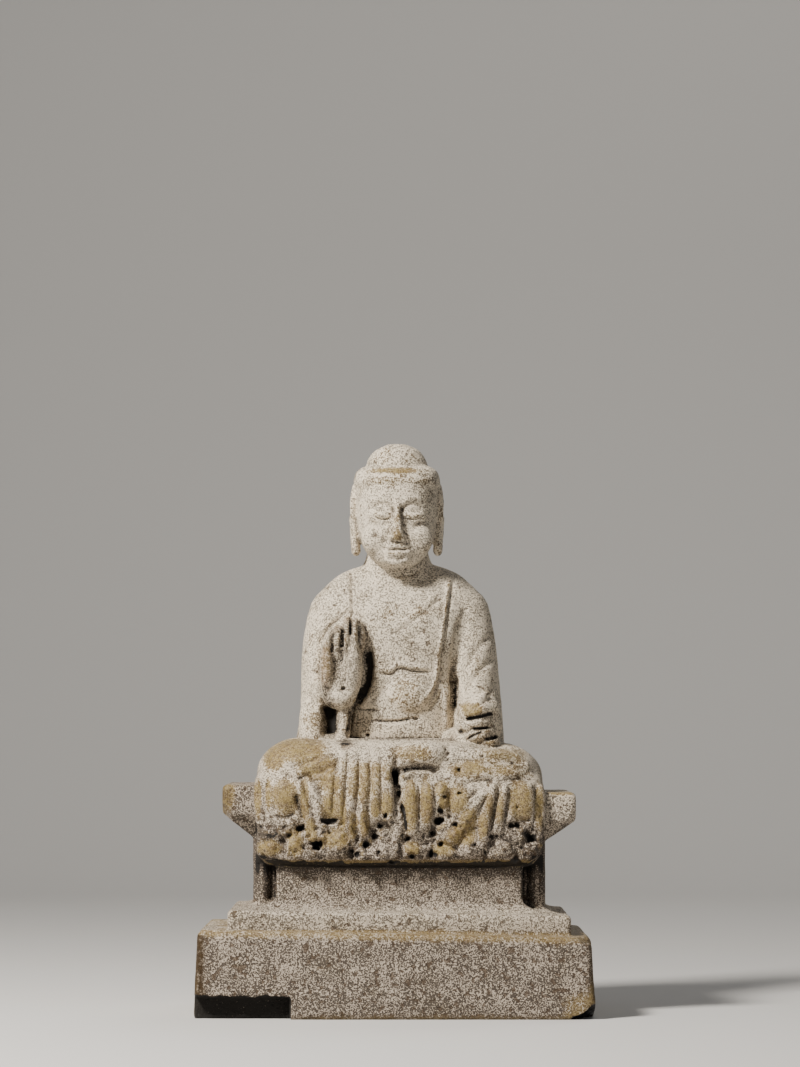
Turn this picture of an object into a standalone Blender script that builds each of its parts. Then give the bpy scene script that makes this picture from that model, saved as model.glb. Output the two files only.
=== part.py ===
"""Seated stone figure on a stepped throne, carved from one block.

The throne is worked out in metres from named widths, depths and heights. The figure is drawn on a
canon of 223.5 parts from the seat to the top of the hair, so its numbers are shares of its height.
X is to the right of someone who faces the figure, the figure looks along -Y, and Z is up.
"""

import math

import bmesh
import bpy
import numpy as np

NAME = "seated_buddha"

# Plinth, the lowest block
PLINTH_WIDTH = 0.2535
PLINTH_DEPTH = 0.150
PLINTH_HEIGHT = 0.0535
PLINTH_BATTER = 0.0025
PLINTH_EDGE = 0.004

# Tier, the moulding on the plinth, set in from it at the front, the sides and the back
TIER_HEIGHT = 0.0125
TIER_FRONT_LEDGE = 0.015
TIER_SIDE_LEDGE = 0.018
TIER_BACK_LEDGE = 0.008
TIER_EDGE = 0.002

# Waist, a front panel between two recessed corner posts, on a cove
COVE_HEIGHT = 0.009
COVE_LIP = 0.003
PANEL_WIDTH = 0.157
PANEL_SETBACK = 0.015
POST_SETBACK = 0.010
POST_RADIUS = 0.0055
WAIST_WIDTH = 0.1875
WAIST_HEIGHT = 0.035

# Seat slab, which flares out of the waist on a sloping underside
SPLAY_HEIGHT = 0.017
SLAB_WIDTH = 0.226
SLAB_FRONT_SETBACK = 0.033
SLAB_BACK_SETBACK = 0.012
SLAB_HEIGHT = 0.018
SLAB_EDGE = 0.003

# Breaks along the foot of the plinth
CHIP_LENGTH = 0.066
CHIP_HEIGHT = 0.014
CHIP_DEPTH = 0.011
CORNER_LOSS = 0.012

# The carver set the throne's upper part and the figure a little to one side
UPPER_SHIFT = 0.003

# Figure
FIGURE_HEIGHT = 0.2235
CANON = 223.5
ROBE_OVERHANG = 0.015
ROBE_FRONT = 57.0

# How finely the block is worked
GRAIN = 0.0015
FACES = 9400
RING = 28
MARK_POINTS = 16

STONE_COLOUR = (0.47, 0.42, 0.34, 1.0)
STONE_ROUGHNESS = 0.8

PLINTH_FRONT = -PLINTH_DEPTH / 2
PLINTH_BACK = PLINTH_DEPTH / 2
TIER_TOP = PLINTH_HEIGHT + TIER_HEIGHT
WAIST_TOP = TIER_TOP + COVE_HEIGHT + WAIST_HEIGHT
SEAT = WAIST_TOP + SPLAY_HEIGHT + SLAB_HEIGHT
SLAB_FRONT = PLINTH_FRONT + SLAB_FRONT_SETBACK
PART = FIGURE_HEIGHT / CANON


def to_world(points):
    """Figure parts to metres: parts times the part's length, moved onto the seat."""
    points = np.asarray(points, float) * PART
    return points + (UPPER_SHIFT, SLAB_FRONT - ROBE_OVERHANG + ROBE_FRONT * PART, SEAT)


def smooth_line(points, count):
    """Catmull-Rom curve through the points, sampled evenly in its parameter."""
    points = np.asarray(points, float)
    ends = np.vstack([2 * points[0] - points[1], points, 2 * points[-1] - points[-2]])
    place = np.linspace(0, len(points) - 1 - 1e-9, count)
    i = place.astype(int)
    t = (place - i)[:, None]
    a, b, c, d = ends[i], ends[i + 1], ends[i + 2], ends[i + 3]
    return 0.5 * (2 * b + (c - a) * t + (2 * a - 5 * b + 4 * c - d) * t**2 + (3 * b - a - 3 * c + d) * t**3)


def closed_loft(rings):
    """Vertices and faces of rings joined in order, each end closed by a fan."""
    rings = np.asarray(rings, float)
    count, around = rings.shape[:2]
    vertices = np.vstack([rings.reshape(-1, 3), rings[0].mean(0), rings[-1].mean(0)])
    row = np.arange(count - 1)[:, None] * around
    here = np.arange(around)
    after = (here + 1) % around
    quads = np.stack([row + here, row + after, row + around + after, row + around + here], -1)
    last = (count - 1) * around
    first_fan = np.stack([after, here, np.full(around, count * around)], -1)
    last_fan = np.stack([last + here, last + after, np.full(around, count * around + 1)], -1)
    return vertices, quads.reshape(-1, 4).tolist() + first_fan.tolist() + last_fan.tolist()


def oval(half_x, half_y, power=2.0):
    """Superellipse around the origin: |x/half_x|^power + |y/half_y|^power = 1."""
    turn = np.linspace(0, 2 * np.pi, RING, endpoint=False)
    c, s = np.cos(turn), np.sin(turn)
    x = half_x * np.sign(c) * np.abs(c) ** (2 / power)
    y = half_y * np.sign(s) * np.abs(s) ** (2 / power)
    return x, y


def stack(stations, power=2.0, levels=20):
    """Upright form through stations of (z, half width, front y, back y, centre x)."""
    rings = []
    for z, half, front, back, centre in smooth_line(stations, levels):
        x, y = oval(half, (back - front) / 2, power)
        rings.append(np.stack([centre + x, (front + back) / 2 + y, np.full(RING, z)], -1))
    return rings


def limb(path, radii, levels=18, flat=(0.0, 1.0, 0.0)):
    """Rounded tube along a path; radii are (across, along flat) at each path point."""
    spine = smooth_line(path, levels)
    size = smooth_line(radii, levels)
    along = np.gradient(spine, axis=0)
    along /= np.linalg.norm(along, axis=1)[:, None]
    across = np.cross(along, np.asarray(flat, float))
    across /= np.linalg.norm(across, axis=1)[:, None]
    deep = np.cross(across, along)
    turn = np.linspace(0, 2 * np.pi, RING, endpoint=False)
    rings = []
    dome = np.radians([75, 50, 25])
    for angle in dome:
        rings.append((0, -math.sin(angle), math.cos(angle)))
    for level in range(levels):
        rings.append((level, 0, 1))
    for angle in dome[::-1]:
        rings.append((levels - 1, math.sin(angle), math.cos(angle)))
    out = []
    for level, push, shrink in rings:
        centre = spine[level] + along[level] * push * size[level].mean()
        a, b = size[level] * shrink
        ring = centre + np.outer(a * np.cos(turn), across[level]) + np.outer(b * np.sin(turn), deep[level])
        out.append(ring)
    return out


def ball(centre, radii):
    """Ellipsoid as a stack of rings from bottom to top."""
    rings = []
    for angle in np.radians(np.linspace(-84, 84, 13)):
        x, y = oval(radii[0] * math.cos(angle), radii[1] * math.cos(angle))
        z = np.full(RING, radii[2] * math.sin(angle))
        rings.append(np.stack([x, y, z], -1) + centre)
    return rings


def rounded_rectangle(half_width, front, back, radius, corner_points=5):
    """Plan outline with round corners, as x and y."""
    x, y = [], []
    corners = ((1, back, 0), (-1, back, 90), (-1, front, 180), (1, front, 270))
    for side, edge, start in corners:
        inward = -1 if edge == back else 1
        for angle in np.radians(start + np.linspace(0, 90, corner_points)):
            x.append(side * (half_width - radius) + radius * math.cos(angle))
            y.append(edge + inward * radius + radius * math.sin(angle))
    return np.array(x), np.array(y)


def worn_edge(height, inset, radius):
    """Rows (z, inset) that turn a vertical face into a top through a quarter circle."""
    for angle in np.radians(np.linspace(0, 90, 5)):
        yield height - radius + radius * math.sin(angle), inset + radius * (1 - math.cos(angle))


def block(rows, radius, shift):
    """Block through rows of (z, half width, front, back)."""
    rings = []
    for z, half, front, back in rows:
        x, y = rounded_rectangle(half, front, back, radius)
        rings.append(np.stack([x + shift, y, np.full(len(x), z)], -1))
    return rings


def plinth():
    half = PLINTH_WIDTH / 2
    rows = [(0.0, half, PLINTH_FRONT, PLINTH_BACK)]
    for z, inset in worn_edge(PLINTH_HEIGHT, PLINTH_BATTER, PLINTH_EDGE):
        rows.append((z, half - inset, PLINTH_FRONT + inset, PLINTH_BACK - inset))
    return block(rows, PLINTH_EDGE, 0.0)


def throne_body(half_waist, setback):
    """Tier, cove, waist, splay and slab as one upright block, cut at the waist to half_waist."""
    tier_half = PLINTH_WIDTH / 2 - TIER_SIDE_LEDGE
    tier_front = PLINTH_FRONT + TIER_FRONT_LEDGE
    tier_back = PLINTH_BACK - TIER_BACK_LEDGE
    waist_front = tier_front + setback
    waist_back = tier_back - POST_SETBACK
    rows = [(PLINTH_HEIGHT / 2, tier_half, tier_front, tier_back)]
    for z, inset in worn_edge(TIER_TOP, 0.0, TIER_EDGE):
        rows.append((z, tier_half - inset, tier_front + inset, tier_back - inset))
    for angle in np.radians(np.linspace(0, 90, 6)):
        share, rise = math.sin(angle), 1 - math.cos(angle)
        half = tier_half - COVE_LIP + (half_waist - tier_half + COVE_LIP) * share
        front = tier_front + COVE_LIP + (setback - COVE_LIP) * share
        back = tier_back - COVE_LIP - (POST_SETBACK - COVE_LIP) * share
        rows.append((TIER_TOP + COVE_HEIGHT * rise, half, front, back))
    rows.append((WAIST_TOP, half_waist, waist_front, waist_back))
    return rows


def waist_panel():
    return block(throne_body(PANEL_WIDTH / 2, PANEL_SETBACK), TIER_EDGE, UPPER_SHIFT)


def throne_core():
    """The recessed waist behind the panel, which flares into the seat slab."""
    half = WAIST_WIDTH / 2 - POST_RADIUS / 2
    rows = throne_body(half, PANEL_SETBACK + POST_SETBACK + POST_RADIUS)
    slab_half = SLAB_WIDTH / 2
    slab_back = PLINTH_BACK - SLAB_BACK_SETBACK
    rows.append((WAIST_TOP + SPLAY_HEIGHT, slab_half, SLAB_FRONT, slab_back))
    for z, inset in worn_edge(SEAT, 0.0, SLAB_EDGE):
        rows.append((z, slab_half - inset, SLAB_FRONT + inset, slab_back - inset))
    return block(rows, TIER_EDGE, UPPER_SHIFT)


def waist_post(side):
    """Round corner post in the recess at one side of the panel."""
    x = UPPER_SHIFT + side * (WAIST_WIDTH / 2 - POST_RADIUS)
    y = PLINTH_FRONT + TIER_FRONT_LEDGE + PANEL_SETBACK + POST_SETBACK + POST_RADIUS
    angle = np.linspace(0, 2 * np.pi, RING, endpoint=False)
    rings = []
    for z in (TIER_TOP, WAIST_TOP + SPLAY_HEIGHT):
        ring = [x + POST_RADIUS * np.cos(angle), y + POST_RADIUS * np.sin(angle), np.full(RING, z)]
        rings.append(np.stack(ring, -1))
    return rings


def robe_front(x, z):
    """How far forward the robe lies at a place seen from the front."""
    rise = np.clip(z / 31, 0, 1)
    side = np.clip((np.abs(x) - 58) / 34, 0, 1)
    return -ROBE_FRONT + 24 * rise**2 + 9 * side**2


def hanging_robe():
    """The robe that falls over the front of the seat: a slab with round lower corners."""
    rings = []
    steps = [(-57, 7), (-56, 3.5), (-54, 1.5), (-50, 0), (-15, 0)]
    for y, inset in steps:
        x, z = rounded_rectangle(92.5 - inset, -47 + inset, 17 - inset, 13)
        rings.append(np.stack([x, np.full(len(x), y), z], -1))
    return rings


def fold(points, radius):
    """Rounded fold of cloth that lies on the robe's front along points in x and z."""
    x, z = smooth_line(points, 6).T
    path = np.stack([x, robe_front(x, z) + 0.4 * radius, z], -1)
    radii = np.full((len(path), 2), float(radius))
    radii[0] *= 0.7
    radii[-1] *= 0.85
    return limb(path, radii)


def robe_folds():
    """Folds of the robe over the shins and the front of the seat."""
    forms = []
    for k in range(5):
        fall = (-20, -29, -31, -22, -18)[k]
        forms.append(fold([(-32 + 6.5 * k, 23), (-35 + 7.2 * k, 3), (-38.5 + 7.8 * k, fall)], 3.8))
    for k in range(3):
        forms.append(fold([(7.5 + 9.5 * k, 2), (7 + 9.5 * k, -14), (8.5 + 8.5 * k, -32 + 4 * k)], 4.9))
    # Folds that fan out below the knees
    forms.append(fold([(54, 0), (46, -16), (40, -24)], 4.6))
    forms.append(fold([(60, 1), (54.5, -14), (52, -36)], 3.3))
    forms.append(fold([(67, 1), (63.5, -14), (61, -29)], 3.6))
    forms.append(fold([(90, 4), (90.5, -16), (87, -37)], 3.2))
    forms.append(fold([(-90, 0), (-89.5, -12), (-88, -27)], 3.4))
    forms.append(fold([(-82, 2), (-82.5, -10), (-82, -22)], 3.0))
    forms.append(fold([(-62, 0), (-59, -18), (-54.5, -35)], 3.8))
    forms.append(fold([(-53, 2), (-49, -16), (-46, -38)], 3.4))
    # Worn swellings between the folds, and lobes of the hem
    lobes = ((-72.5, -7, 9, 11), (77, -9, 9.5, 11.5), (-84, -39, 9, 7), (-69, -33, 9, 13),
             (83, -39, 9, 8), (62, -41, 10, 6), (30, -40, 13, 6), (-34, -41, 14, 6))
    for x, z, half_width, half_height in lobes:
        forms.append(ball((x, robe_front(x, z) + 4, z), (half_width, 5.5, half_height)))
    return forms


def figure_forms():
    """Every form of the figure, in parts of its height."""
    forms = [hanging_robe()]
    # Crossed legs under the robe: the lap, the two knees and the shins in front
    forms.append(stack([
        (-6, 87, -53, 60, 0), (6, 90, -55, 60, 0), (14, 87, -52, 58, 0), (21, 81, -47, 54, 0),
        (27, 71, -39, 48, 0), (31, 55, -28, 42, 0)], power=2.7))
    forms.append(ball((-63, -12, 8), (28, 42, 24)))
    forms.append(ball((65, -12, 6), (28, 42, 22)))
    forms.append(limb([(-62, -34, 11), (-22, -40, 13), (22, -40, 13), (62, -34, 9)],
                      [(16, 15), (15, 15), (15, 15), (15, 15)]))
    forms += robe_folds()
    # The sole of the foot on the lap
    forms.append(limb([(5, -43, 20), (15, -45, 20.5), (26, -42, 20)], [(8, 9), (9, 9.5), (7.5, 8)]))
    # Trunk and neck
    forms.append(stack([
        (10, 46, -14, 50, 0), (40, 42, -12, 47, 0), (70, 41, -12, 45, 0), (95, 47, -13, 46, 0),
        (112, 50, -11, 47, 0), (124, 46, -6, 45, 0), (134, 34, 0, 41, 0), (144, 23, 3, 37, -1),
        (152, 19.5, 3, 35, -1), (160, 19, 3, 35, -1)], power=2.3, levels=28))
    forms += arms()
    forms += raised_hand()
    forms += resting_hand()
    forms += head()
    return forms


def arms():
    """Sleeved arms on sloping shoulders, with the sleeves falling to the lap."""
    forms = []
    for side in (-1, 1):
        forms.append(limb([(side * 12, 20, 132), (side * 29, 20, 124), (side * 41, 20, 112)],
                          [(15, 17), (17, 19), (18.4, 19)]))
    return forms + [
        limb([(-42.5, 20, 108), (-46, 18, 85), (-48, 12, 50), (-49, 8, 30)],
             [(18, 19), (17.5, 20), (16.5, 20), (17, 20)]),
        limb([(42.5, 20, 108), (46.5, 17, 85), (50, 10, 52), (51, 5, 30)],
             [(18, 19), (17.5, 20), (17, 21), (17, 22)]),
        # Forearms, under cloth
        limb([(-48, 8, 50), (-44, -6, 54), (-35, -16, 60)], [(14, 14), (12, 12), (9.5, 9)]),
        limb([(51, 6, 50), (52, -12, 47), (52, -24, 44)], [(15, 15), (14, 14), (12, 13)]),
        # Cloth between the sleeves and the trunk
        ball((-36, 2, 48), (13, 16, 22)),
        ball((46, -4, 30), (20, 26, 14)),
        limb([(-37, -10, 54), (-38, -13, 42), (-40, -14, 28)], [(4, 6), (4, 6), (4.5, 7)]),
    ]


def raised_hand():
    """Open hand held up before the shoulder, palm out, still joined to the chest behind it."""
    forms = [
        ball((-36, -17, 79), (13.5, 8.5, 20)),
        ball((-37, -4, 82), (13, 15, 24)),
        ball((-28.5, -21, 78), (6.5, 6.5, 14)),
        ball((-42.5, -20, 78), (6, 6, 15)),
    ]
    fingers = ((-46, 98), (-40, 103.5), (-34, 107), (-28.3, 106.5))
    for x, top in fingers:
        forms.append(limb([(x * 0.98, -17, 84), (x, -19, 95), (x * 0.99, -17.5, top)],
                          [(3.4, 4.2), (3.3, 4), (3, 3.6)]))
    forms.append(limb([(-25, -15, 80), (-22.8, -14, 92), (-25, -12, 104)],
                      [(4, 5), (3.6, 4.5), (3, 4)]))
    forms.append(limb([(-36, -14, 70), (-35, -15, 62)], [(11, 9), (10, 9)]))
    return forms


def resting_hand():
    """Hand laid on the knee, its fingers curled one above another."""
    forms = [ball((52, -26, 45), (13.5, 13, 16))]
    for step in range(4):
        z = 53.5 - 7.2 * step
        forms.append(limb([(41 + step, -33, z - 2), (53, -37, z), (64, -31, z + 2.5)],
                          [(4, 3.6), (4.2, 3.9), (4, 3.5)], flat=(0, 0, 1)))
    forms.append(limb([(52, -34, 57), (57, -35, 60)], [(3.4, 3.4), (3, 3)], flat=(0, 0, 1)))
    return forms


def head():
    """Head with its smooth cap of hair, domed crown and long ears; the face is a plain calm one."""
    forms = [
        stack([
            (142.5, 8, -10, 8, -1), (146, 14.5, -14, 16, -1), (153, 20.5, -16.5, 26, -1.5),
            (163, 24.5, -17, 35, -1.5), (174, 26.3, -16.5, 41, -1.5), (186, 27, -16.5, 43, -1.5),
            (196, 26.6, -15, 42, -1.5), (203, 25, -11.5, 38, -1.5), (208.5, 20.5, -4, 30, -1.5)],
            power=2.25, levels=26),
        # The domed crown on the cap of hair
        stack([
            (196, 20, -6, 36, -1.5), (206, 20, -6, 36, -1.5), (213.5, 18, -4, 34, -1.5),
            (219.5, 13.5, 0, 30, -1.5), (223.5, 6, 7, 22, -1.5)], power=2.2),
    ]
    for side in (-1, 1):
        forms.append(limb([(-1.5 + side * 26.8, 14, 193), (-1.5 + side * 28.4, 14, 181),
                           (-1.5 + side * 27.4, 13, 166), (-1.5 + side * 26.4, 12, 155)],
                          [(2.6, 6.5), (2.8, 6.5), (2.4, 4.5), (2.8, 4.5)]))
    forms.append(limb([(-1, -14.5, 181), (-1, -17, 173), (-1, -19, 165.5)],
                      [(2, 3), (2.4, 3), (3.2, 3)]))
    for side in (-1, 1):
        forms.append(ball((-1 + side * 3.8, -16.5, 164), (2.3, 3, 2.2)))
    return forms


def marks():
    """Carved lines seen from the front: (points in x and z, half width, height above the stone)."""
    # Clefts between the gathered folds, and the band's free edge
    for k in range(4):
        yield [(-28.8 + 6.5 * k, 24), (-31.5 + 7.2 * k, 3), (-34.5 + 7.8 * k, -22)], 1.1, -1.4
    yield [(-2, 23), (-1.6, 3), (-1.5, -19)], 1.4, -2.4
    # Deep clefts of the hem at the left and at the right end
    yield [(-66, 0), (-63, -18), (-60, -30)], 1.5, -2.6
    yield [(-56, -6), (-53, -18), (-50.5, -32)], 1.3, -2.0
    yield [(-86, 0), (-86, -12), (-85, -24)], 1.2, -1.8
    yield [(86, 2), (86.5, -18), (85, -36)], 1.2, -2.2
    # Folds over the shins
    yield [(-46, 25), (-60, 19), (-75, 15)], 1.8, -1.6
    yield [(-82, 10), (-66, 6), (-46, 5)], 1.6, -1.8
    yield [(48, 22), (66, 20), (84, 14)], 1.8, -1.5
    yield [(44, 12), (60, 9), (80, 4)], 1.6, -1.5
    # Hollow under the sole of the foot
    yield [(-2, 12), (10, 10), (28, 9)], 2.2, -4.0
    # Where the trunk meets the lap
    yield [(-34, 31.5), (0, 31), (40, 30.5)], 1.4, -2.0
    # Robe border down the chest and the cloth turned under it
    yield [(31.7, 134), (29, 110), (25, 86), (23.5, 72), (17, 55)], 2.0, 2.2
    yield [(27.3, 63), (25.7, 57), (19, 49)], 1.3, -1.8
    yield [(37, 98), (35.5, 86), (35.3, 68), (34.5, 50)], 2.4, -5.0
    yield [(-31.8, 138), (-31, 110)], 1.3, -1.6
    # Under-robe edge, girdle and its lower folds
    yield [(0, 102), (10, 107), (22, 116), (27, 125)], 1.4, -1.0
    yield [(-15, 73.5), (-5, 72.5), (0, 76), (10, 74.5), (21, 74)], 1.2, -1.4
    yield [(-29, 50), (-12, 49)], 1.0, -1.0
    yield [(-18, 43), (-4, 42), (10, 44)], 1.0, -1.2
    # Mouth of the hanging sleeve, and the shade beside the raised hand
    yield [(-45, 52), (-46, 42), (-45.5, 33)], 4.0, -8.0
    yield [(-24, 82), (-22, 70), (-25, 58)], 2.6, -4.0
    # Slits between the fingers of both hands
    for x in (-43, -37, -31):
        yield [(x, 92), (x, 98), (x, 104)], 0.9, -2.0
    for k in range(3):
        yield [(41 + 3 * k, 48 - 7.2 * k), (64, 52 - 7.2 * k)], 1.0, -2.2


def face_marks():
    """Brow, eyes and lips of the face, by the schoolbook: eyes halfway up, a mouth one eye wide."""
    for side in (-1, 1):
        centre = -1 + side * 10.2
        yield [(centre - side * 6, 180), (centre, 182.5), (centre + side * 8, 178.5)], 1.8, 0.9
        yield [(centre - side * 5, 177), (centre, 178), (centre + side * 6, 176)], 2.0, -1.3
        yield [(centre - side * 4, 173.5), (centre + side * 4, 173.8)], 2.2, 0.8
        yield [(centre - side * 5, 172.4), (centre, 171.3), (centre + side * 6, 172.8)], 0.9, -0.8
    yield [(-7, 157), (-1, 157.8), (5, 157)], 1.5, 1.2
    yield [(-5.5, 153), (-1, 152.4), (3.5, 153)], 1.6, 1.1
    yield [(-8, 155.3), (-1, 154.9), (6, 155.3)], 0.9, -0.9


def distance_to_line(points, line):
    """Distance of each point to a polyline, and how far along it the nearest place is."""
    start, step = line[:-1], line[1:] - line[:-1]
    away = points[:, None] - start
    share = np.clip((away * step).sum(-1) / (step * step).sum(-1), 0, 1)
    distance = np.linalg.norm(away - share[..., None] * step, axis=-1)
    nearest = distance.argmin(1)
    rows = np.arange(len(points))
    return distance[rows, nearest], (nearest + share[rows, nearest]) / len(step)


def carve(mesh):
    """Push the front of the stone in or out along each mark, fading at the mark's ends."""
    count = len(mesh.vertices)
    place = np.empty(count * 3, np.float32)
    facing = np.empty(count * 3, np.float32)
    mesh.vertices.foreach_get("co", place)
    mesh.vertices.foreach_get("normal", facing)
    place = place.reshape(-1, 3).astype(float)
    facing = facing.reshape(-1, 3).astype(float)
    origin = to_world((0, 0, 0))
    flat = (place - origin)[:, [0, 2]] / PART
    depth = (place[:, 1] - origin[1]) / PART
    front = np.clip(-facing[:, 1] * 2.5, 0, 1) * np.clip((8 - depth) / 6, 0, 1)
    push = np.zeros(count)
    for points, width, height in list(marks()) + list(face_marks()):
        line = smooth_line(points, MARK_POINTS)
        low, high = line.min(0) - 3 * width, line.max(0) + 3 * width
        near = np.flatnonzero((front > 0) & (flat > low).all(1) & (flat < high).all(1))
        if not len(near):
            continue
        distance, share = distance_to_line(flat[near], line)
        fade = np.clip(np.minimum(share, 1 - share) * 6 + 0.2, 0, 1)
        push[near] += height * PART * np.exp(-((distance / width) ** 2)) * fade * front[near]
    place += facing * push[:, None]
    mesh.vertices.foreach_set("co", place.astype(np.float32).ravel())
    mesh.update()


def mesh_from(forms, name):
    """One mesh of all the closed forms, still overlapping."""
    vertices, faces, base = [], [], 0
    for rings in forms:
        points, sides = closed_loft(rings)
        vertices.append(points)
        faces += [[base + i for i in side] for side in sides]
        base += len(points)
    mesh = bpy.data.meshes.new(name)
    mesh.from_pydata(np.vstack(vertices).tolist(), [], faces)
    work = bmesh.new()
    work.from_mesh(mesh)
    bmesh.ops.recalc_face_normals(work, faces=work.faces)
    work.to_mesh(mesh)
    work.free()
    return mesh


def cutter(low, high):
    """Closed box between two corners, for a break."""
    mesh = bpy.data.meshes.new("break")
    work = bmesh.new()
    bmesh.ops.create_cube(work, size=1.0)
    for vertex in work.verts:
        for axis in range(3):
            vertex.co[axis] = high[axis] if vertex.co[axis] > 0 else low[axis]
    work.to_mesh(mesh)
    work.free()
    tool = bpy.data.objects.new("break", mesh)
    tool.hide_render = True
    tool.display_type = "WIRE"
    bpy.context.collection.objects.link(tool)
    return tool


def applied(stone):
    """Bake the object's modifiers into its mesh."""
    graph = bpy.context.evaluated_depsgraph_get()
    mesh = bpy.data.meshes.new_from_object(stone.evaluated_get(graph))
    stone.modifiers.clear()
    old, stone.data = stone.data, mesh
    bpy.data.meshes.remove(old)


def chipped_plinth():
    """The plinth with the long break at its lower left and the lost lower right corner."""
    stone = bpy.data.objects.new("plinth", mesh_from([plinth()], "plinth"))
    bpy.context.collection.objects.link(stone)
    half = PLINTH_WIDTH / 2
    beyond = 2 * PLINTH_EDGE
    tool = cutter((-half - beyond, PLINTH_FRONT - beyond, -beyond),
                  (-half + CHIP_LENGTH, PLINTH_FRONT + CHIP_DEPTH, CHIP_HEIGHT))
    cut = stone.modifiers.new("chip", "BOOLEAN")
    cut.operation = "DIFFERENCE"
    cut.object = tool
    corner = cutter((-CORNER_LOSS,) * 3, (CORNER_LOSS,) * 3)
    corner.location = (half, PLINTH_FRONT, 0)
    corner.rotation_euler = (0, math.radians(45), 0)
    loss = stone.modifiers.new("corner", "BOOLEAN")
    loss.operation = "DIFFERENCE"
    loss.object = corner
    applied(stone)
    for used in (tool, corner):
        bpy.data.objects.remove(used)
    return stone


def set_underside(mesh):
    """Rest the block flat: every point of the rounded lower rim goes down to the ground plane."""
    count = len(mesh.vertices)
    place = np.empty(count * 3, np.float32)
    mesh.vertices.foreach_get("co", place)
    place = place.reshape(-1, 3)
    place[place[:, 2] < GRAIN * 0.6, 2] = 0.0
    mesh.vertices.foreach_set("co", place.ravel())
    mesh.update()


def main():
    for thing in list(bpy.data.objects):
        bpy.data.objects.remove(thing)
    throne = [throne_core(), waist_panel(), waist_post(-1), waist_post(1)]
    forms = throne + [[to_world(ring) for ring in form] for form in figure_forms()]
    stone = bpy.data.objects.new(NAME, mesh_from(forms, NAME))
    bpy.context.collection.objects.link(stone)
    base = chipped_plinth()
    joined = bmesh.new()
    joined.from_mesh(stone.data)
    joined.from_mesh(base.data)
    joined.to_mesh(stone.data)
    joined.free()
    bpy.data.objects.remove(base)

    fuse = stone.modifiers.new("fuse", "REMESH")
    fuse.mode = "VOXEL"
    fuse.voxel_size = GRAIN
    soften = stone.modifiers.new("soften", "SMOOTH")
    soften.factor = 0.5
    soften.iterations = 2
    applied(stone)
    carve(stone.data)
    thin = stone.modifiers.new("thin", "DECIMATE")
    thin.ratio = FACES / (2 * len(stone.data.polygons))
    applied(stone)
    set_underside(stone.data)

    material = bpy.data.materials.new("stone")
    material.use_nodes = True
    shader = material.node_tree.nodes["Principled BSDF"]
    shader.inputs["Base Color"].default_value = STONE_COLOUR
    shader.inputs["Roughness"].default_value = STONE_ROUGHNESS
    stone.data.materials.clear()
    stone.data.materials.append(material)


main()
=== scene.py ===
import bpy
import numpy as np
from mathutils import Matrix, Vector


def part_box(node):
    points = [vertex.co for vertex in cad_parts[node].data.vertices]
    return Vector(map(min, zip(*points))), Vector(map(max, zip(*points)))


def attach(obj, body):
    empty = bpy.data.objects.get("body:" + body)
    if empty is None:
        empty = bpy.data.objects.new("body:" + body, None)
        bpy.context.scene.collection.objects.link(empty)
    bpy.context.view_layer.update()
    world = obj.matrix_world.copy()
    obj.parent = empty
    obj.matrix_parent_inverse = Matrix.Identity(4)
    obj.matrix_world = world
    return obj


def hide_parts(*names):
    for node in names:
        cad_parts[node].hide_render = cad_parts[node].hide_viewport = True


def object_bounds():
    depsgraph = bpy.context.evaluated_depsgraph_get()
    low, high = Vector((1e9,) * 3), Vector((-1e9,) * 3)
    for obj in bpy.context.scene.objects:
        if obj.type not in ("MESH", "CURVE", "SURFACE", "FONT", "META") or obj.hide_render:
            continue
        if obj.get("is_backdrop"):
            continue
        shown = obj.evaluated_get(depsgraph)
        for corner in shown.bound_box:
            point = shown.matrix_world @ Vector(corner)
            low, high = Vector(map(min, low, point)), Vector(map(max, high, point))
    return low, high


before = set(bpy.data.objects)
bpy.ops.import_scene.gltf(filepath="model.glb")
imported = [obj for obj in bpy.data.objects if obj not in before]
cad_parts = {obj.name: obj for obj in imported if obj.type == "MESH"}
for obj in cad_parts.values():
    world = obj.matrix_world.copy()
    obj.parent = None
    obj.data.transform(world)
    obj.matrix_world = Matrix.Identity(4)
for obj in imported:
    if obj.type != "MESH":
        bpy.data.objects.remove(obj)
solid_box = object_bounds()

# The camera stands where the photographer did: in front of the statue, level with its lap and tipped
# up a little, so that the statue sits in the lower middle of an upright frame. All lengths on the
# statue are in parts: its height is 368.5 parts, which makes a part about a millimetre.
HEIGHT_IN_PARTS = 368.5
LONG_SIDE_PIXELS = 1067
FOCAL_PIXELS = 3740
HORIZON_ROW = 720
CAMERA_DISTANCE = 2435
CAMERA_SIDE = 3.5
CAMERA_HEIGHT = 188
SENSOR = 36

low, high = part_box("seated_buddha")
unit = (high[2] - low[2]) / HEIGHT_IN_PARTS
middle = Vector(((low[0] + high[0]) / 2, (low[1] + high[1]) / 2, low[2]))

lens = bpy.data.cameras.new("photograph")
lens.sensor_width = SENSOR
lens.lens = SENSOR * FOCAL_PIXELS / LONG_SIDE_PIXELS
camera = bpy.data.objects.new("photograph", lens)
bpy.context.collection.objects.link(camera)
camera.location = middle + unit * Vector((CAMERA_SIDE, -CAMERA_DISTANCE, CAMERA_HEIGHT))
rise = (HORIZON_ROW - LONG_SIDE_PIXELS / 2) / FOCAL_PIXELS
camera.rotation_euler = Vector((0, 1, rise)).to_track_quat("-Z", "Y").to_euler()
bpy.context.scene.camera = camera


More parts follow.
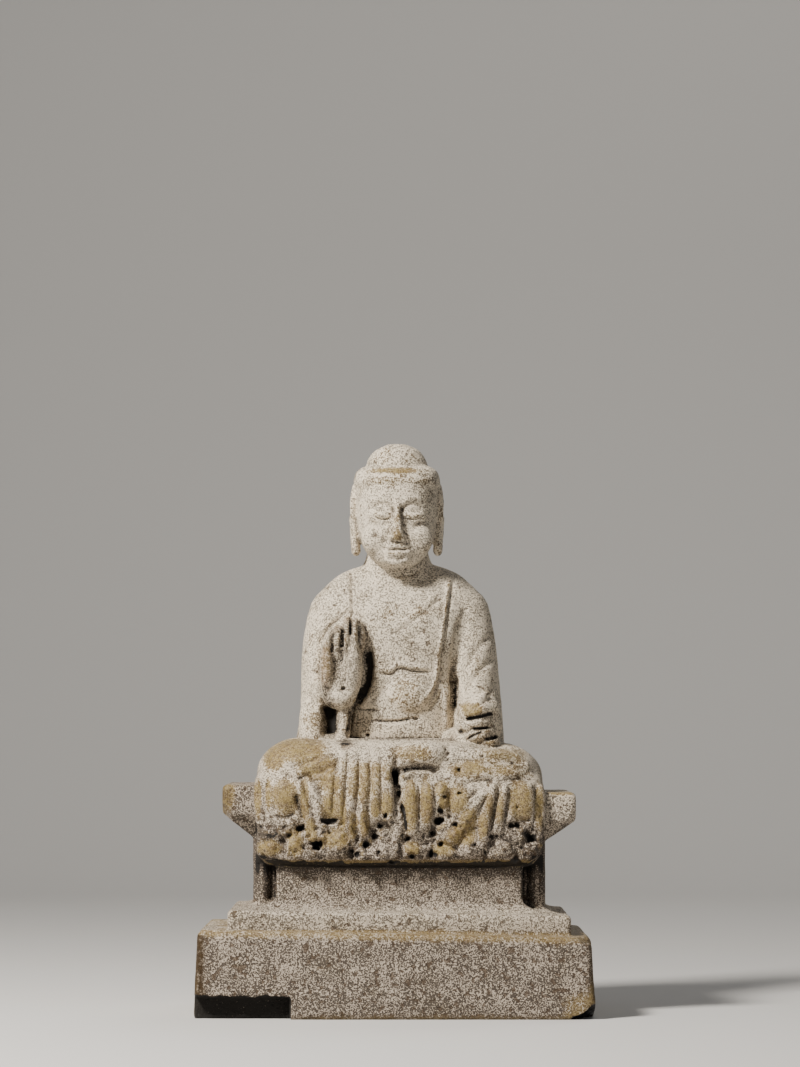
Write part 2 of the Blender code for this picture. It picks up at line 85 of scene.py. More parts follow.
# The studio: a pale floor that turns up into a pale wall far behind, a soft key light at the upper
# left as in the photograph, a weak fill at the right, a weak lamp high behind for the back of the
# statue, and an even grey surround.
FLOOR_HALF_WIDTH = 3.0
FLOOR_FRONT = -3.4
FLOOR_BEND = 1.6
BEND_RADIUS = 0.8
WALL_HEIGHT = 3.0
FLOOR_COLOUR = (0.62, 0.61, 0.59, 1.0)
SURROUND = (0.86, 0.90, 1.0, 1.0)
SURROUND_STRENGTH = 0.085
KEY = {"place": (-0.82, -0.80, 1.22), "size": 0.28, "power": 52, "colour": (1.0, 0.95, 0.88)}
FILL = {"place": (1.9, -1.6, 0.7), "size": 1.6, "power": 1.6, "colour": (0.86, 0.91, 1.0)}
BACK = {"place": (0.9, 1.6, 2.3), "size": 1.2, "power": 16, "colour": (1.0, 0.97, 0.92)}
LIT_HEIGHT = 170


def sweep_profile(bend_points=12):
    """Floor, quarter circle and wall, in y and z: flat, then radius times (sin a, 1 - cos a)."""
    turn = np.linspace(0, np.pi / 2, bend_points)
    bend_y = FLOOR_BEND + BEND_RADIUS * np.sin(turn)
    bend_z = BEND_RADIUS * (1 - np.cos(turn))
    y = np.concatenate([[FLOOR_FRONT], bend_y, [FLOOR_BEND + BEND_RADIUS]])
    z = np.concatenate([[0], bend_z, [WALL_HEIGHT]])
    return y, z


y, z = sweep_profile()
rows = len(y)
left = np.stack([np.full(rows, -FLOOR_HALF_WIDTH), y, z], -1)
right = left * (-1, 1, 1)
strip = np.arange(rows - 1)
faces = np.stack([strip, strip + rows, strip + rows + 1, strip + 1], -1)
floor_mesh = bpy.data.meshes.new("floor")
floor_mesh.from_pydata(np.vstack([left, right]).tolist(), [], faces.tolist())
floor_mesh.shade_smooth()
floor = bpy.data.objects.new("floor", floor_mesh)
bpy.context.collection.objects.link(floor)
paint = bpy.data.materials.new("pale paint")
paint.use_nodes = True
paint.node_tree.nodes["Principled BSDF"].inputs["Base Color"].default_value = FLOOR_COLOUR
paint.node_tree.nodes["Principled BSDF"].inputs["Roughness"].default_value = 0.9
floor_mesh.materials.append(paint)
floor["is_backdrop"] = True

aim = middle + unit * Vector((0, 0, LIT_HEIGHT))
for name, lamp in (("key", KEY), ("fill", FILL), ("back", BACK)):
    light = bpy.data.lights.new(name, "AREA")
    light.size = lamp["size"]
    light.energy = lamp["power"]
    light.color = lamp["colour"]
    stand = bpy.data.objects.new(name, light)
    stand.location = lamp["place"]
    stand.rotation_euler = (Vector(lamp["place"]) - aim).to_track_quat("Z", "Y").to_euler()
    bpy.context.collection.objects.link(stand)
surround = bpy.data.worlds.new("surround")
surround.use_nodes = True
surround.node_tree.nodes["Background"].inputs["Color"].default_value = SURROUND
surround.node_tree.nodes["Background"].inputs["Strength"].default_value = SURROUND_STRENGTH
bpy.context.scene.world = surround


# The statue is one block of pale stone. The carver roughed out the throne and the figure as rounded
# masses, cut the folds and hands into them, and time has broken, pitted and worn the surface. It is
# made here the same way: closed masses are fused into one skin, then cut, then weathered.
SEAT = 145.0
FIGURE_SHIFT = 3.0
RING = 64


def smooth_line(points, count):
    """Catmull-Rom curve: a cubic between two points, with the slopes that their neighbours give."""
    points = np.asarray(points, float)
    ends = np.vstack([2 * points[0] - points[1], points, 2 * points[-1] - points[-2]])
    place = np.linspace(0, len(points) - 1 - 1e-9, count)
    i = place.astype(int)
    t = (place - i)[:, None]
    a, b, c, d = ends[i], ends[i + 1], ends[i + 2], ends[i + 3]
    straight = 2 * b + (c - a) * t
    return 0.5 * (straight + (2 * a - 5 * b + 4 * c - d) * t**2 + (3 * b - a - 3 * c + d) * t**3)


def oval(half_x, half_y, power):
    """Superellipses, one a row: |x / half_x| to the power plus |y / half_y| to the power is 1."""
    turn = np.linspace(0, 2 * np.pi, RING, endpoint=False)
    c, s = np.cos(turn), np.sin(turn)
    bend = 2 / np.reshape(power, (-1, 1))
    x = half_x[:, None] * np.sign(c) * np.abs(c) ** bend
    return x, half_y[:, None] * np.sign(s) * np.abs(s) ** bend


def stack(stations, power=2.0, levels=36):
    """Upright mass through stations of (z, half width, front y, back y, centre x, maybe power)."""
    z, half, front, back, centre, *own_power = smooth_line(stations, levels).T
    x, y = oval(half, (back - front) / 2, own_power[0] if own_power else power)
    return np.stack([centre[:, None] + x, (front + back)[:, None] / 2 + y, z[:, None] + 0 * x], -1)


def limb(path, radii, levels=28, flat=(0.0, 1.0, 0.0)):
    """Tube along a curve: centre plus r1 cos(a) across plus r2 sin(a) along flat, with domed ends."""
    spine = smooth_line(path, levels)
    size = smooth_line(radii, levels)
    along = np.gradient(spine, axis=0)
    along /= np.linalg.norm(along, axis=1)[:, None]
    across = np.cross(along, np.asarray(flat, float))
    across /= np.linalg.norm(across, axis=1)[:, None]
    deep = np.cross(across, along)
    dome = np.radians([78, 58, 38, 19])
    level = np.concatenate([np.zeros(4, int), np.arange(levels), np.full(4, levels - 1)])
    push = np.concatenate([-np.sin(dome), np.zeros(levels), np.sin(dome[::-1])])
    shrink = np.concatenate([np.cos(dome), np.ones(levels), np.cos(dome[::-1])])
    turn = np.linspace(0, 2 * np.pi, RING, endpoint=False)
    a, b = (size[level] * shrink[:, None]).T
    centre = spine[level] + along[level] * (push * size[level].mean(1))[:, None]
    wide = (a[:, None] * np.cos(turn))[..., None] * across[level][:, None]
    return centre[:, None] + wide + (b[:, None] * np.sin(turn))[..., None] * deep[level][:, None]


def ball(centre, radii, levels=17):
    """Ellipsoid: ovals of radius cos(a) at height sin(a), from bottom to top."""
    rise = np.radians(np.linspace(-86, 86, levels))
    x, y = oval(radii[0] * np.cos(rise), radii[1] * np.cos(rise), 2)
    return np.stack([x, y, radii[2] * np.sin(rise)[:, None] + 0 * x], -1) + np.asarray(centre, float)


def rounded_box(half_width, front, back, radius):
    """Rectangle with quarter circles at its corners, RING points for each row of sizes, as x and y."""
    half_width, front, back = np.broadcast_arrays(half_width, front, back)
    turn = (np.arange(RING) + 0.5) * 2 * np.pi / RING
    quarter = turn % (np.pi / 2)
    angle = turn - quarter + np.clip((quarter / (np.pi / 2) - 0.5) * 1.06 + 0.5, 0, 1) * np.pi / 2
    x = np.sign(np.cos(turn)) * (half_width[:, None] - radius) + radius * np.cos(angle)
    reach = np.sign(np.sin(turn)) * ((back - front)[:, None] / 2 - radius)
    return x, (front + back)[:, None] / 2 + reach + radius * np.sin(angle)


# Throne: plinth with a slot broken out of its lower left, moulding, cove, panelled waist with corner
# posts, and the slab of the seat
PLINTH = {"half": 126.75, "front": -75.0, "back": 75.0, "top": 53.5, "batter": 2.5, "edge": 4.0}
SLOT = {"roof": 13.5, "end": -66.0, "depth": 10.0, "corner": 1.5}
OVERLAP = 2.0
TIER = {"half": 108.75, "front": -60.0, "back": 67.0, "top": 66.0, "edge": 1.6}
COVE_RISE = 9.0
COVE_LIP = 3.0
PANEL_HALF = 78.5
PANEL_FRONT = -45.0
POST_RADIUS = 5.5
POST_SETBACK = 10.0
POST_BURIED = 4.0
POST_RISE = 12.0
WAIST_HALF = 93.75
WAIST_BACK = 57.0
WAIST_TOP = 110.0
SLAB = {"half": 113.0, "front": -42.0, "back": 63.0, "bottom": 127.0, "edge": 2.6}


def edge_rows(top, half, front, back, radius, steps=6):
    """Quarter circle from upright faces into a top: inset r(1 - cos a) at height r(sin a - 1)."""
    a = np.linspace(0, np.pi / 2, steps)
    inset = radius * (1 - np.cos(a))
    return np.stack([top - radius + radius * np.sin(a), half - inset, front + inset, back - inset], -1)


def masonry(rows, radius, shift):
    """Rounded boxes through rows of (z, half width, front, back)."""
    z, half, front, back = np.asarray(rows, float).T
    x, y = rounded_box(half, front, back, radius)
    return np.stack([x + shift, y, z[:, None] + 0 * x], -1)


def tier_and_waist(half_waist, waist_front):
    """Rows of the moulding and the hollow curve above it: inset by sin(a) while rising by 1 - cos(a)."""
    a = np.linspace(0, np.pi / 2, 9)
    share, lift = np.sin(a), 1 - np.cos(a)
    cove = np.stack([
        TIER["top"] + COVE_RISE * lift,
        TIER["half"] - COVE_LIP + (half_waist - TIER["half"] + COVE_LIP) * share,
        TIER["front"] + COVE_LIP + (waist_front - TIER["front"] - COVE_LIP) * share,
        TIER["back"] - COVE_LIP + (WAIST_BACK - TIER["back"] + COVE_LIP) * share], -1)
    foot = [(PLINTH["top"] / 2, TIER["half"], TIER["front"], TIER["back"])]
    edge = edge_rows(TIER["top"], TIER["half"], TIER["front"], TIER["back"], TIER["edge"])
    return np.vstack([foot, edge, cove, [(WAIST_TOP, half_waist, waist_front, WAIST_BACK)]])


batter = PLINTH["batter"]
tucked = batter * SLOT["roof"] / PLINTH["top"]
upper_plinth = np.vstack([
    [(SLOT["roof"], PLINTH["half"] - tucked, PLINTH["front"] + tucked, PLINTH["back"] - tucked)],
    edge_rows(PLINTH["top"], PLINTH["half"] - batter, PLINTH["front"] + batter,
              PLINTH["back"] - batter, PLINTH["edge"])])
foot_back = [(z, PLINTH["half"] - inset, PLINTH["front"] + SLOT["depth"], PLINTH["back"] - inset)
             for z, inset in ((0, 0), (SLOT["roof"] + OVERLAP, tucked))]
foot_middle = (SLOT["end"] + PLINTH["half"]) / 2
foot_front = [(z, PLINTH["half"] - foot_middle - inset, PLINTH["front"] + inset, 0)
              for z, inset in ((0, 0), (SLOT["roof"] + OVERLAP, tucked))]
post_front = PANEL_FRONT + POST_SETBACK
core_rows = np.vstack([
    tier_and_waist(WAIST_HALF - POST_RADIUS / 2, post_front + POST_RADIUS),
    [(SLAB["bottom"], SLAB["half"], SLAB["front"], SLAB["back"])],
    edge_rows(SEAT, SLAB["half"], SLAB["front"], SLAB["back"], SLAB["edge"])])
throne = [
    masonry(upper_plinth, PLINTH["edge"], 0.0),
    masonry(foot_back, PLINTH["edge"], 0.0),
    masonry(foot_front, SLOT["corner"], foot_middle),
    masonry(tier_and_waist(PANEL_HALF, PANEL_FRONT), TIER["edge"], FIGURE_SHIFT),
    masonry(core_rows, SLAB["edge"], FIGURE_SHIFT),
]
for side in (-1, 1):
    x = FIGURE_SHIFT + side * (WAIST_HALF - POST_RADIUS)
    y = post_front + POST_RADIUS
    post = [(x, y, TIER["top"] - POST_BURIED), (x, y, WAIST_TOP + POST_RISE)]
    throne.append(limb(post, [(POST_RADIUS, POST_RADIUS)] * 2))


# Legs, lap and the robe that hangs over the front of the seat. From here the measures count from the
# middle of the seat.
def robe_front(x, z):
    """Depth of the robe's face: upright below the seat, leaning back above it and round the knees."""
    rise = np.clip(z / 31, 0, 1)
    side = np.clip((np.abs(x) - 56) / 36, 0, 1)
    return -56.0 + 27 * rise**2 + 11 * side**2


def fold(points, radius, sink):
    """Rounded fold along points in x and z, sunk into the robe's face by a share of its radius."""
    x, z = smooth_line(points, 8).T
    path = np.stack([x, robe_front(x, z) + sink * radius, z], -1)
    thick = np.full((8, 2), float(radius))
    thick[0] *= 0.6
    thick[-1] *= 0.9
    return limb(path, thick)


figure = [
    stack([(-51, 78, -43, -15, 0, 6), (-49.6, 84, -47.5, -12, 0, 6), (-46, 88, -51, -10, 0, 6),
           (-41, 90.5, -54, -10, 0, 6), (-25, 91, -54.5, -10, 0, 6), (-8, 92, -54.5, -10, 0, 6),
           (2, 92.8, -54, 10, 0, 5), (9, 90.5, -52, 20, 0, 4), (15, 87.5, -48.5, 20, 0, 3.4),
           (21, 82, -43.5, 20, 0, 3), (27, 72, -36, 20, 0, 2.8), (31, 56, -25, 20, 0, 2.6)], levels=60),
    stack([(-6, 87, -40, 60, 0), (6, 90, -40, 60, 0), (14, 87, -40, 58, 0), (21, 81, -36, 54, 0),
           (27, 71, -30, 48, 0), (31, 55, -22, 42, 0)], power=2.7),
    ball((-63, -12, 8), (29, 41, 24)),
    ball((64, -12, 5.5), (28.5, 41, 23)),
    limb([(-60, -32, 12), (-22, -36, 14), (22, -36, 14), (60, -32, 10)], [(15.5, 15)] * 4),
    # Shins under the cloth, and the sole of the foot that lies on the lap
    limb([(-36, -43, 18), (-54, -44, 13.5), (-70, -40, 9)], [(7, 7), (8.5, 8), (7, 7)]),
    limb([(34, -40, 20), (56, -42, 17), (78, -37, 12)], [(6, 7), (7.5, 8), (6, 7)]),
    limb([(36, -45, 9), (50, -46, 8), (62, -45, 6)], [(7, 8), (8, 8), (6, 7)]),
    limb([(1.5, -42, 20), (9, -45.5, 20.5), (20, -45.5, 20.5), (28, -40, 20.5)],
         [(7.5, 8), (9, 9), (9, 9), (7.5, 8)]),
]
# Five gathered folds in the middle, on a band of cloth that stands proud; their ends hang unevenly
GATHERED_SINK = 0.4
GATHERED = [
    ([(-35, 24), (-37, 4), (-38.5, -20)], 3.6),
    ([(-28.6, 25), (-29.6, 3), (-31.6, -18), (-30.5, -31)], 4.1),
    ([(-21.8, 25), (-21.8, 3), (-23.6, -18), (-22.4, -29)], 4.2),
    ([(-14.8, 25), (-14.8, 3), (-15.6, -16), (-14.6, -20)], 4.1),
    ([(-7.2, 24), (-7, 3), (-6.6, -14), (-6.8, -20)], 4.9),
]
# Three broad folds under the foot
BROAD_SINK = 0.65
BROAD = [
    ([(7.6, 2), (7.4, -14), (8.8, -27)], 5.3), ([(18.2, 2), (17.6, -14), (16.4, -26)], 4.8),
    ([(27.2, 1), (27.2, -8), (27.4, -13)], 4.7),
]
# Folds that fan out from the knees, and the straight ones at the ends: course, radius and sink
FANNED = [
    ([(55, -1), (48, -12), (39.5, -24)], 4.3, 0.6),
    ([(60, 1), (56.3, -12), (54.4, -25), (52.8, -37)], 3.5, 0.5),
    ([(67.4, 1), (64.8, -12), (62.4, -27)], 3.4, 0.55), ([(71.8, -12), (71.4, -21)], 2.6, 0.5),
    ([(90.4, 2), (90, -16), (87.6, -38)], 3.2, 0.45),
    ([(-90, 3), (-89.6, -12), (-88.6, -27)], 3.2, 0.45),
    ([(-83, 1), (-82.8, -10), (-82.2, -21)], 3.0, 0.5),
    ([(-66.5, 7), (-59.8, -9), (-55.6, -25), (-52.4, -33)], 4.1, 0.55),
    ([(-57.5, 5), (-52.6, -8), (-49.8, -20), (-48, -31)], 3.8, 0.5),
    ([(-43, 10), (-42, 0), (-42.4, -16)], 5.0, 0.75), ([(-2, -8), (-1, -22), (-2, -40)], 3.4, 0.7),
]
# Swellings worn smooth between the folds, and the lobes of the broken hem: x, z, half width, half height
SWELLING_SINK = 3.4
SWELLING_DEPTH = 5.8
SWELLINGS = [
    (-72.5, -6.5, 9.6, 12.5), (78.8, -8.5, 9, 12), (40.5, -9, 8.4, 9.5), (-43.6, -8.5, 7, 10),
    (-80.6, -38.5, 7, 6.4), (-67.2, -38.5, 7.8, 8.6), (-68.4, -25.5, 4.6, 6.4), (-39.5, -36, 10.5, 9),
    (-57, -42.5, 6, 5), (-23, -43, 6.5, 4.5), (-11, -41.5, 8.5, 6), (8.5, -40, 8.5, 6),
    (33.5, -31.5, 7.4, 6), (29, -42, 9, 5), (45, -38.5, 8.5, 6.5), (66.5, -39.5, 8, 7.5),
    (81.2, -40.5, 7.4, 7), (77, -29.5, 5, 6),
]
figure += [fold(course, radius, GATHERED_SINK) for course, radius in GATHERED]
figure += [fold(course, radius, BROAD_SINK) for course, radius in BROAD]
figure += [fold(course, radius, sink) for course, radius, sink in FANNED]
for x, z, half_width, half_height in SWELLINGS:
    middle_y = robe_front(x, z) + SWELLING_SINK
    figure.append(ball((x, middle_y, z), (half_width, SWELLING_DEPTH, half_height)))

# Trunk and neck, rounded belly, sloping shoulders, and sleeves that fall to the lap
figure.append(stack([
    (10, 46, -14, 50, 0), (40, 43, -13, 47, 0), (55, 41, -14, 46, 0), (72, 40.5, -12, 45, 0),
    (95, 47, -13, 46, 0), (112, 50, -11, 47, 0), (124, 46, -6, 45, 0), (134, 35, 0, 41, 0),
    (143, 24, 2, 38, -1), (152, 20, 2, 35, -1), (160, 19, 3, 35, -1)], power=2.3, levels=48))
figure.append(ball((6, -4, 59), (17, 14.5, 15)))
for side in (-1, 1):
    figure.append(limb([(side * 12, 20, 132), (side * 29, 20, 124.5), (side * 41, 20, 112)],
                       [(15, 17), (17, 19), (18.4, 19)]))
figure += [
    limb([(-42.5, 20, 108), (-46, 18, 85), (-48, 12, 50), (-50, 8, 30)],
         [(18, 19), (17.5, 20), (16.5, 20), (17, 20)]),
    limb([(42.5, 20, 108), (46.5, 17, 85), (50, 10, 52), (51, 5, 30)],
         [(18, 19), (17.5, 20), (17, 21), (17, 22)]),
    limb([(-50, 8, 56), (-46, -3, 62), (-38, -12, 65)], [(12, 13), (9, 10), (8, 8)]),
    limb([(51, 6, 50), (52, -12, 47), (52, -24, 44)], [(15, 15), (13.5, 14), (11, 12)]),
    limb([(-57, 4, 50), (-57, -2, 40), (-56, -6, 29)], [(7, 9), (8, 10), (9, 12)]),
    ball((46, -4, 28), (20, 26, 12)),
    # The narrow roll of cloth that hangs from the raised wrist
    limb([(-34.5, -12, 58), (-35.6, -14, 43), (-37.4, -16, 29)], [(4.2, 7), (4.6, 7), (4.8, 8)]),
]

# Raised right hand, palm out and fingers up: the palm from its heel upwards, the mounds at its two
# edges, the rounded heel, the thumb, and the four fingers with their tips leaning back
figure += [
    stack([
        (50.5, 4.5, -21, 4, -38.5, 2.2), (53, 8.4, -24.5, 4, -38.8, 2.4), (58, 11, -25.5, 4, -38.6, 2.6),
        (64, 12.4, -24.5, 4, -38.2, 2.8), (72, 13.2, -23.5, 4, -37.6, 3), (84, 13.2, -22.5, 4, -36.8, 3),
        (92, 12.8, -21, 4, -36.2, 3), (97, 11, -19, 2, -35.4, 2.6), (100, 7, -16, 0, -34.6, 2.2),
    ], levels=40),
    ball((-30.8, -20.5, 75), (7.2, 7.4, 18)),
    ball((-46.4, -19.8, 76), (4.8, 7, 19)),
    ball((-37.6, -20.5, 57.5), (9.8, 7.5, 7)),
    limb([(-26.2, -15, 88), (-24.8, -14, 97), (-26.2, -12.5, 104)], [(3.6, 5), (3.0, 4.6), (2.6, 4.2)]),
]
# Its fingers: x, height of the tip, radius
FINGERS = [(-46.2, 96.2, 3.1), (-40, 100.8, 3.7), (-33.9, 107, 3.2), (-28.9, 106, 2.8)]
for x, tip, radius in FINGERS:
    figure.append(limb([(x, -18.5, 84), (x, -20.5, 93), (x * 0.99, -17.5, tip)],
                       [(radius, 5.6), (radius, 5.4), (radius * 0.88, 4.6)]))

# Left hand on the knee, fingers lying one above another: left z, right z, left x, right x, radius
LYING_FINGERS = [(47.8, 50.6, 44, 59, 5.2), (39.6, 42.6, 42, 60, 3.2), (33.4, 35.4, 46, 60, 3.0),
                 (28.0, 29.0, 54, 62, 2.6)]
figure.append(ball((52, -22, 40), (14, 12, 18)))
for lower, upper, left_x, right_x, radius in LYING_FINGERS:
    knuckle = ((left_x + right_x) / 2, -34, (lower + upper) / 2)
    figure.append(limb([(left_x, -30, lower), knuckle, (right_x, -28, upper)],
                       [(radius, radius + 1)] * 3, flat=(0, 0, 1)))
figure.append(limb([(48.5, -31, 53), (52, -32.5, 56.4), (55.6, -30, 59)],
                   [(3.6, 4.4), (3.6, 4.4), (3.3, 4)]))

# Head: full oval with a smooth cap of hair, a domed crown and long ears. The face is a plain, calm
# one laid out by the schoolbook: eyes halfway up the head and one eye's width apart, nose as wide as
# that gap and ending halfway to the chin, mouth a third of the way further down.
FACE = -1.2
CHIN = 142.5
HEAD_TOP = 208.0
HEAD_HALF = 26.0
EYE_LINE = (CHIN + HEAD_TOP) / 2
NOSE_BASE = (EYE_LINE + CHIN) / 2
MOUTH = NOSE_BASE - (NOSE_BASE - CHIN) / 3
EYE = 2 * HEAD_HALF / 5
AXIS = -1.5
EAR_OUT = 28.0
figure += [
    stack([
        (142, 8, -9, 8, -1), (146, 14.5, -13.5, 16, -1), (153, 20.5, -16, 26, AXIS),
        (163, 24.5, -16.5, 35, AXIS), (174, 26.3, -16, 41, AXIS), (186, 27.2, -16, 43, AXIS),
        (196, 27.2, -14.5, 42, AXIS), (203, 26.2, -10.5, 38, AXIS), (207, 23.5, -5, 33, AXIS),
        (209.5, 17, 2, 26, AXIS)], power=2.35, levels=48),
    # Cap of hair, and the crown on it
    stack([
        (176, 23, 14, 44, AXIS), (188, 27.6, 3, 44.5, AXIS), (196, 28.4, -14.2, 43.5, AXIS),
        (202, 27.8, -13.4, 41, AXIS), (206, 25.8, -9.6, 36.5, AXIS), (209, 21, -3, 30, AXIS),
        (210.5, 14, 4, 24, AXIS)], power=2.45, levels=40),
    stack([
        (196, 20, -4, 36, AXIS), (208, 20.2, -5, 36, AXIS), (214.5, 18.2, -3, 34, AXIS),
        (220, 13.6, 1, 29.5, AXIS), (223.5, 6, 8, 22, AXIS)], power=2.2),
    # Nose, chin and lips
    limb([(FACE, -14, EYE_LINE + 8), (FACE, -16, EYE_LINE), (FACE, -17.9, NOSE_BASE + 3.4)],
         [(2.7, 3.4), (2.8, 3.6), (3.7, 4.0)]),
    ball((FACE, -12.8, CHIN + 5.2), (8.5, 5.2, 5.6)),
    ball((FACE, -13, MOUTH - 0.6), (10, 5.4, 5.8)),
]
for side in (-1, 1):
    x = AXIS + side * EAR_OUT
    figure += [
        ball((FACE + side * EYE * 0.4, -16.2, NOSE_BASE + 2.4), (2.5, 3.4, 2.4)),
        ball((FACE + side * EYE, -11.4, EYE_LINE - 0.4), (EYE * 0.8, 4.9, 4.4)),
        ball((FACE + side * 12, -7.6, NOSE_BASE + 2), (11, 8, 11)),
        # Ear: a flat leaf, its raised rim, and the long lobe
        ball((x - side * 0.8, 14, 184), (2.8, 8, 12.5)),
        limb([(x + side * 0.6, 7, 176), (x + side * 0.9, 6.5, 187), (x - side * 0.6, 12, 195.5),
              (x + side * 0.8, 21, 189), (x + side * 0.8, 19.5, 177), (x, 15, 168)],
             [(1.9, 1.9)] * 6, flat=(1, 0, 0)),
        limb([(x + side * 0.4, 11.5, 174), (x - side * 0.2, 10.5, 164), (x - side * 1.2, 10, 154)],
             [(2.7, 4.6), (2.7, 4.4), (3.1, 4.8)]),
    ]


def fused(name, masses, grain, softening):
    """One skin round all the masses, on a grid of cubes of the given size, then softened."""
    vertices, sides, base = [], [], 0
    for rings in masses:
        count, around = rings.shape[:2]
        row = (np.arange(count - 1) * around)[:, None]
        here = np.arange(around)
        after = (here + 1) % around
        quads = np.stack([row + here, row + after, row + around + after, row + around + here], -1)
        last = (count - 1) * around
        first_fan = np.stack([after, here, np.full(around, count * around)], -1)
        last_fan = np.stack([last + here, last + after, np.full(around, count * around + 1)], -1)
        vertices.append(np.vstack([rings.reshape(-1, 3), rings[0].mean(0), rings[-1].mean(0)]))
        sides += (quads.reshape(-1, 4) + base).tolist()
        sides += (first_fan + base).tolist() + (last_fan + base).tolist()
        base += count * around + 2
    mesh = bpy.data.meshes.new(name)
    mesh.from_pydata(np.vstack(vertices).tolist(), [], sides)
    block = bpy.data.objects.new(name, mesh)
    bpy.context.collection.objects.link(block)
    skin = block.modifiers.new("skin", "REMESH")
    skin.mode = "VOXEL"
    skin.voxel_size = grain
    soft = block.modifiers.new("soft", "SMOOTH")
    soft.factor = 0.5
    soft.iterations = softening
    baked(block)
    return block


def baked(block):
    """Keep the shape that the block's modifiers give and drop the modifiers."""
    graph = bpy.context.evaluated_depsgraph_get()
    old = block.data
    new = bpy.data.meshes.new_from_object(block.evaluated_get(graph))
    block.modifiers.clear()
    block.data = new
    bpy.data.meshes.remove(old)


def read(mesh, what="co"):
    """Positions or normals of the mesh's points as rows of three."""
    values = np.empty(len(mesh.vertices) * 3, np.float32)
    mesh.vertices.foreach_get(what, values)
    return values.reshape(-1, 3).astype(float)


def write(mesh, points):
    """Put rows of three back as the mesh's points."""
    mesh.vertices.foreach_set("co", points.astype(np.float32).ravel())
    mesh.update()


def noise(points, size, seed=0):
    """Smooth noise from -1 to 1: a hash of the eight corners of a cell, blended by 3t^2 - 2t^3."""
    cell = points / size
    corner = np.floor(cell).astype(np.int64)
    t = cell - corner
    t = t * t * (3 - 2 * t)
    total = np.zeros(len(points))
    for k in range(8):
        step = np.array([k & 1, k >> 1 & 1, k >> 2])
        i = corner + step + seed * 131
        mix = (i[:, 0] * 73856093 ^ i[:, 1] * 19349663 ^ i[:, 2] * 83492791) & 0x7FFFFFFF
        mix = (mix ^ mix >> 13) * 1274126177 & 0x7FFFFFFF
        share = np.where(step, t, 1 - t).prod(1)
        total += share * ((mix ^ mix >> 16) & 0xFFFF) / 32767.5
    return total - 1


def spread(mesh, values, rounds):
    """Average of each point's value with its neighbours', along the mesh's edges, a few times over."""
    ends = np.empty(len(mesh.edges) * 2, np.int32)
    mesh.edges.foreach_get("vertices", ends)
    a, b = ends.reshape(-1, 2).T
    count = len(values)
    share = np.bincount(a, minlength=count) + np.bincount(b, minlength=count) + 1.0
    for _ in range(rounds):
        columns = [np.bincount(a, v[b], count) + np.bincount(b, v[a], count) + v for v in values.T]
        values = np.stack(columns, -1) / share[:, None]
    return values


def distance_to_line(points, line):
    """Distance of each point to a polyline, and how far along it the nearest place is."""
    start, step = line[:-1], line[1:] - line[:-1]
    away = points[:, None] - start
    share = np.clip((away * step).sum(-1) / (step * step).sum(-1), 0, 1)
    distance = np.linalg.norm(away - share[..., None] * step, axis=-1)
    nearest = distance.argmin(1)
    rows = np.arange(len(points))
    return distance[rows, nearest], (nearest + share[rows, nearest]) / len(step)


def marked(points, facing, marks, side=-1, limit=14.0, power=2):
    """How far marks lift each point: height times exp(-(distance / width)^power), less at their ends."""
    flat = points[:, [0, 2]] - (FIGURE_SHIFT, SEAT)
    toward = np.clip(side * facing[:, 1] * 2.5, 0, 1) * np.clip(side * (points[:, 1] - limit) / 6, 0, 1)
    lift = np.zeros(len(points))
    for course, width, height in marks:
        line = smooth_line(course, 18)
        low, high = line.min(0) - 2.6 * width, line.max(0) + 2.6 * width
        near = np.flatnonzero((toward > 0) & (flat > low).all(1) & (flat < high).all(1))
        if len(near):
            distance, share = distance_to_line(flat[near], line)
            fade = np.clip(np.minimum(share, 1 - share) * 6 + 0.2, 0, 1)
            lift[near] += height * np.exp(-((distance / width) ** power)) * fade * toward[near]
    return lift


GRID = 0.75
SOFTENING = 3
masses = throne + [mass + (FIGURE_SHIFT, 0, SEAT) for mass in figure]
statue = fused("stone_statue", masses, GRID, SOFTENING)

# Broad plates that stand proud of the cloth behind them: course in x and z, half width, height
PLATES = [
    ([(-21, 27), (-22, 4), (-22, -23)], 17.5, 1.6), ([(14, 1), (14, -14), (15, -33)], 14.5, 1.0),
]
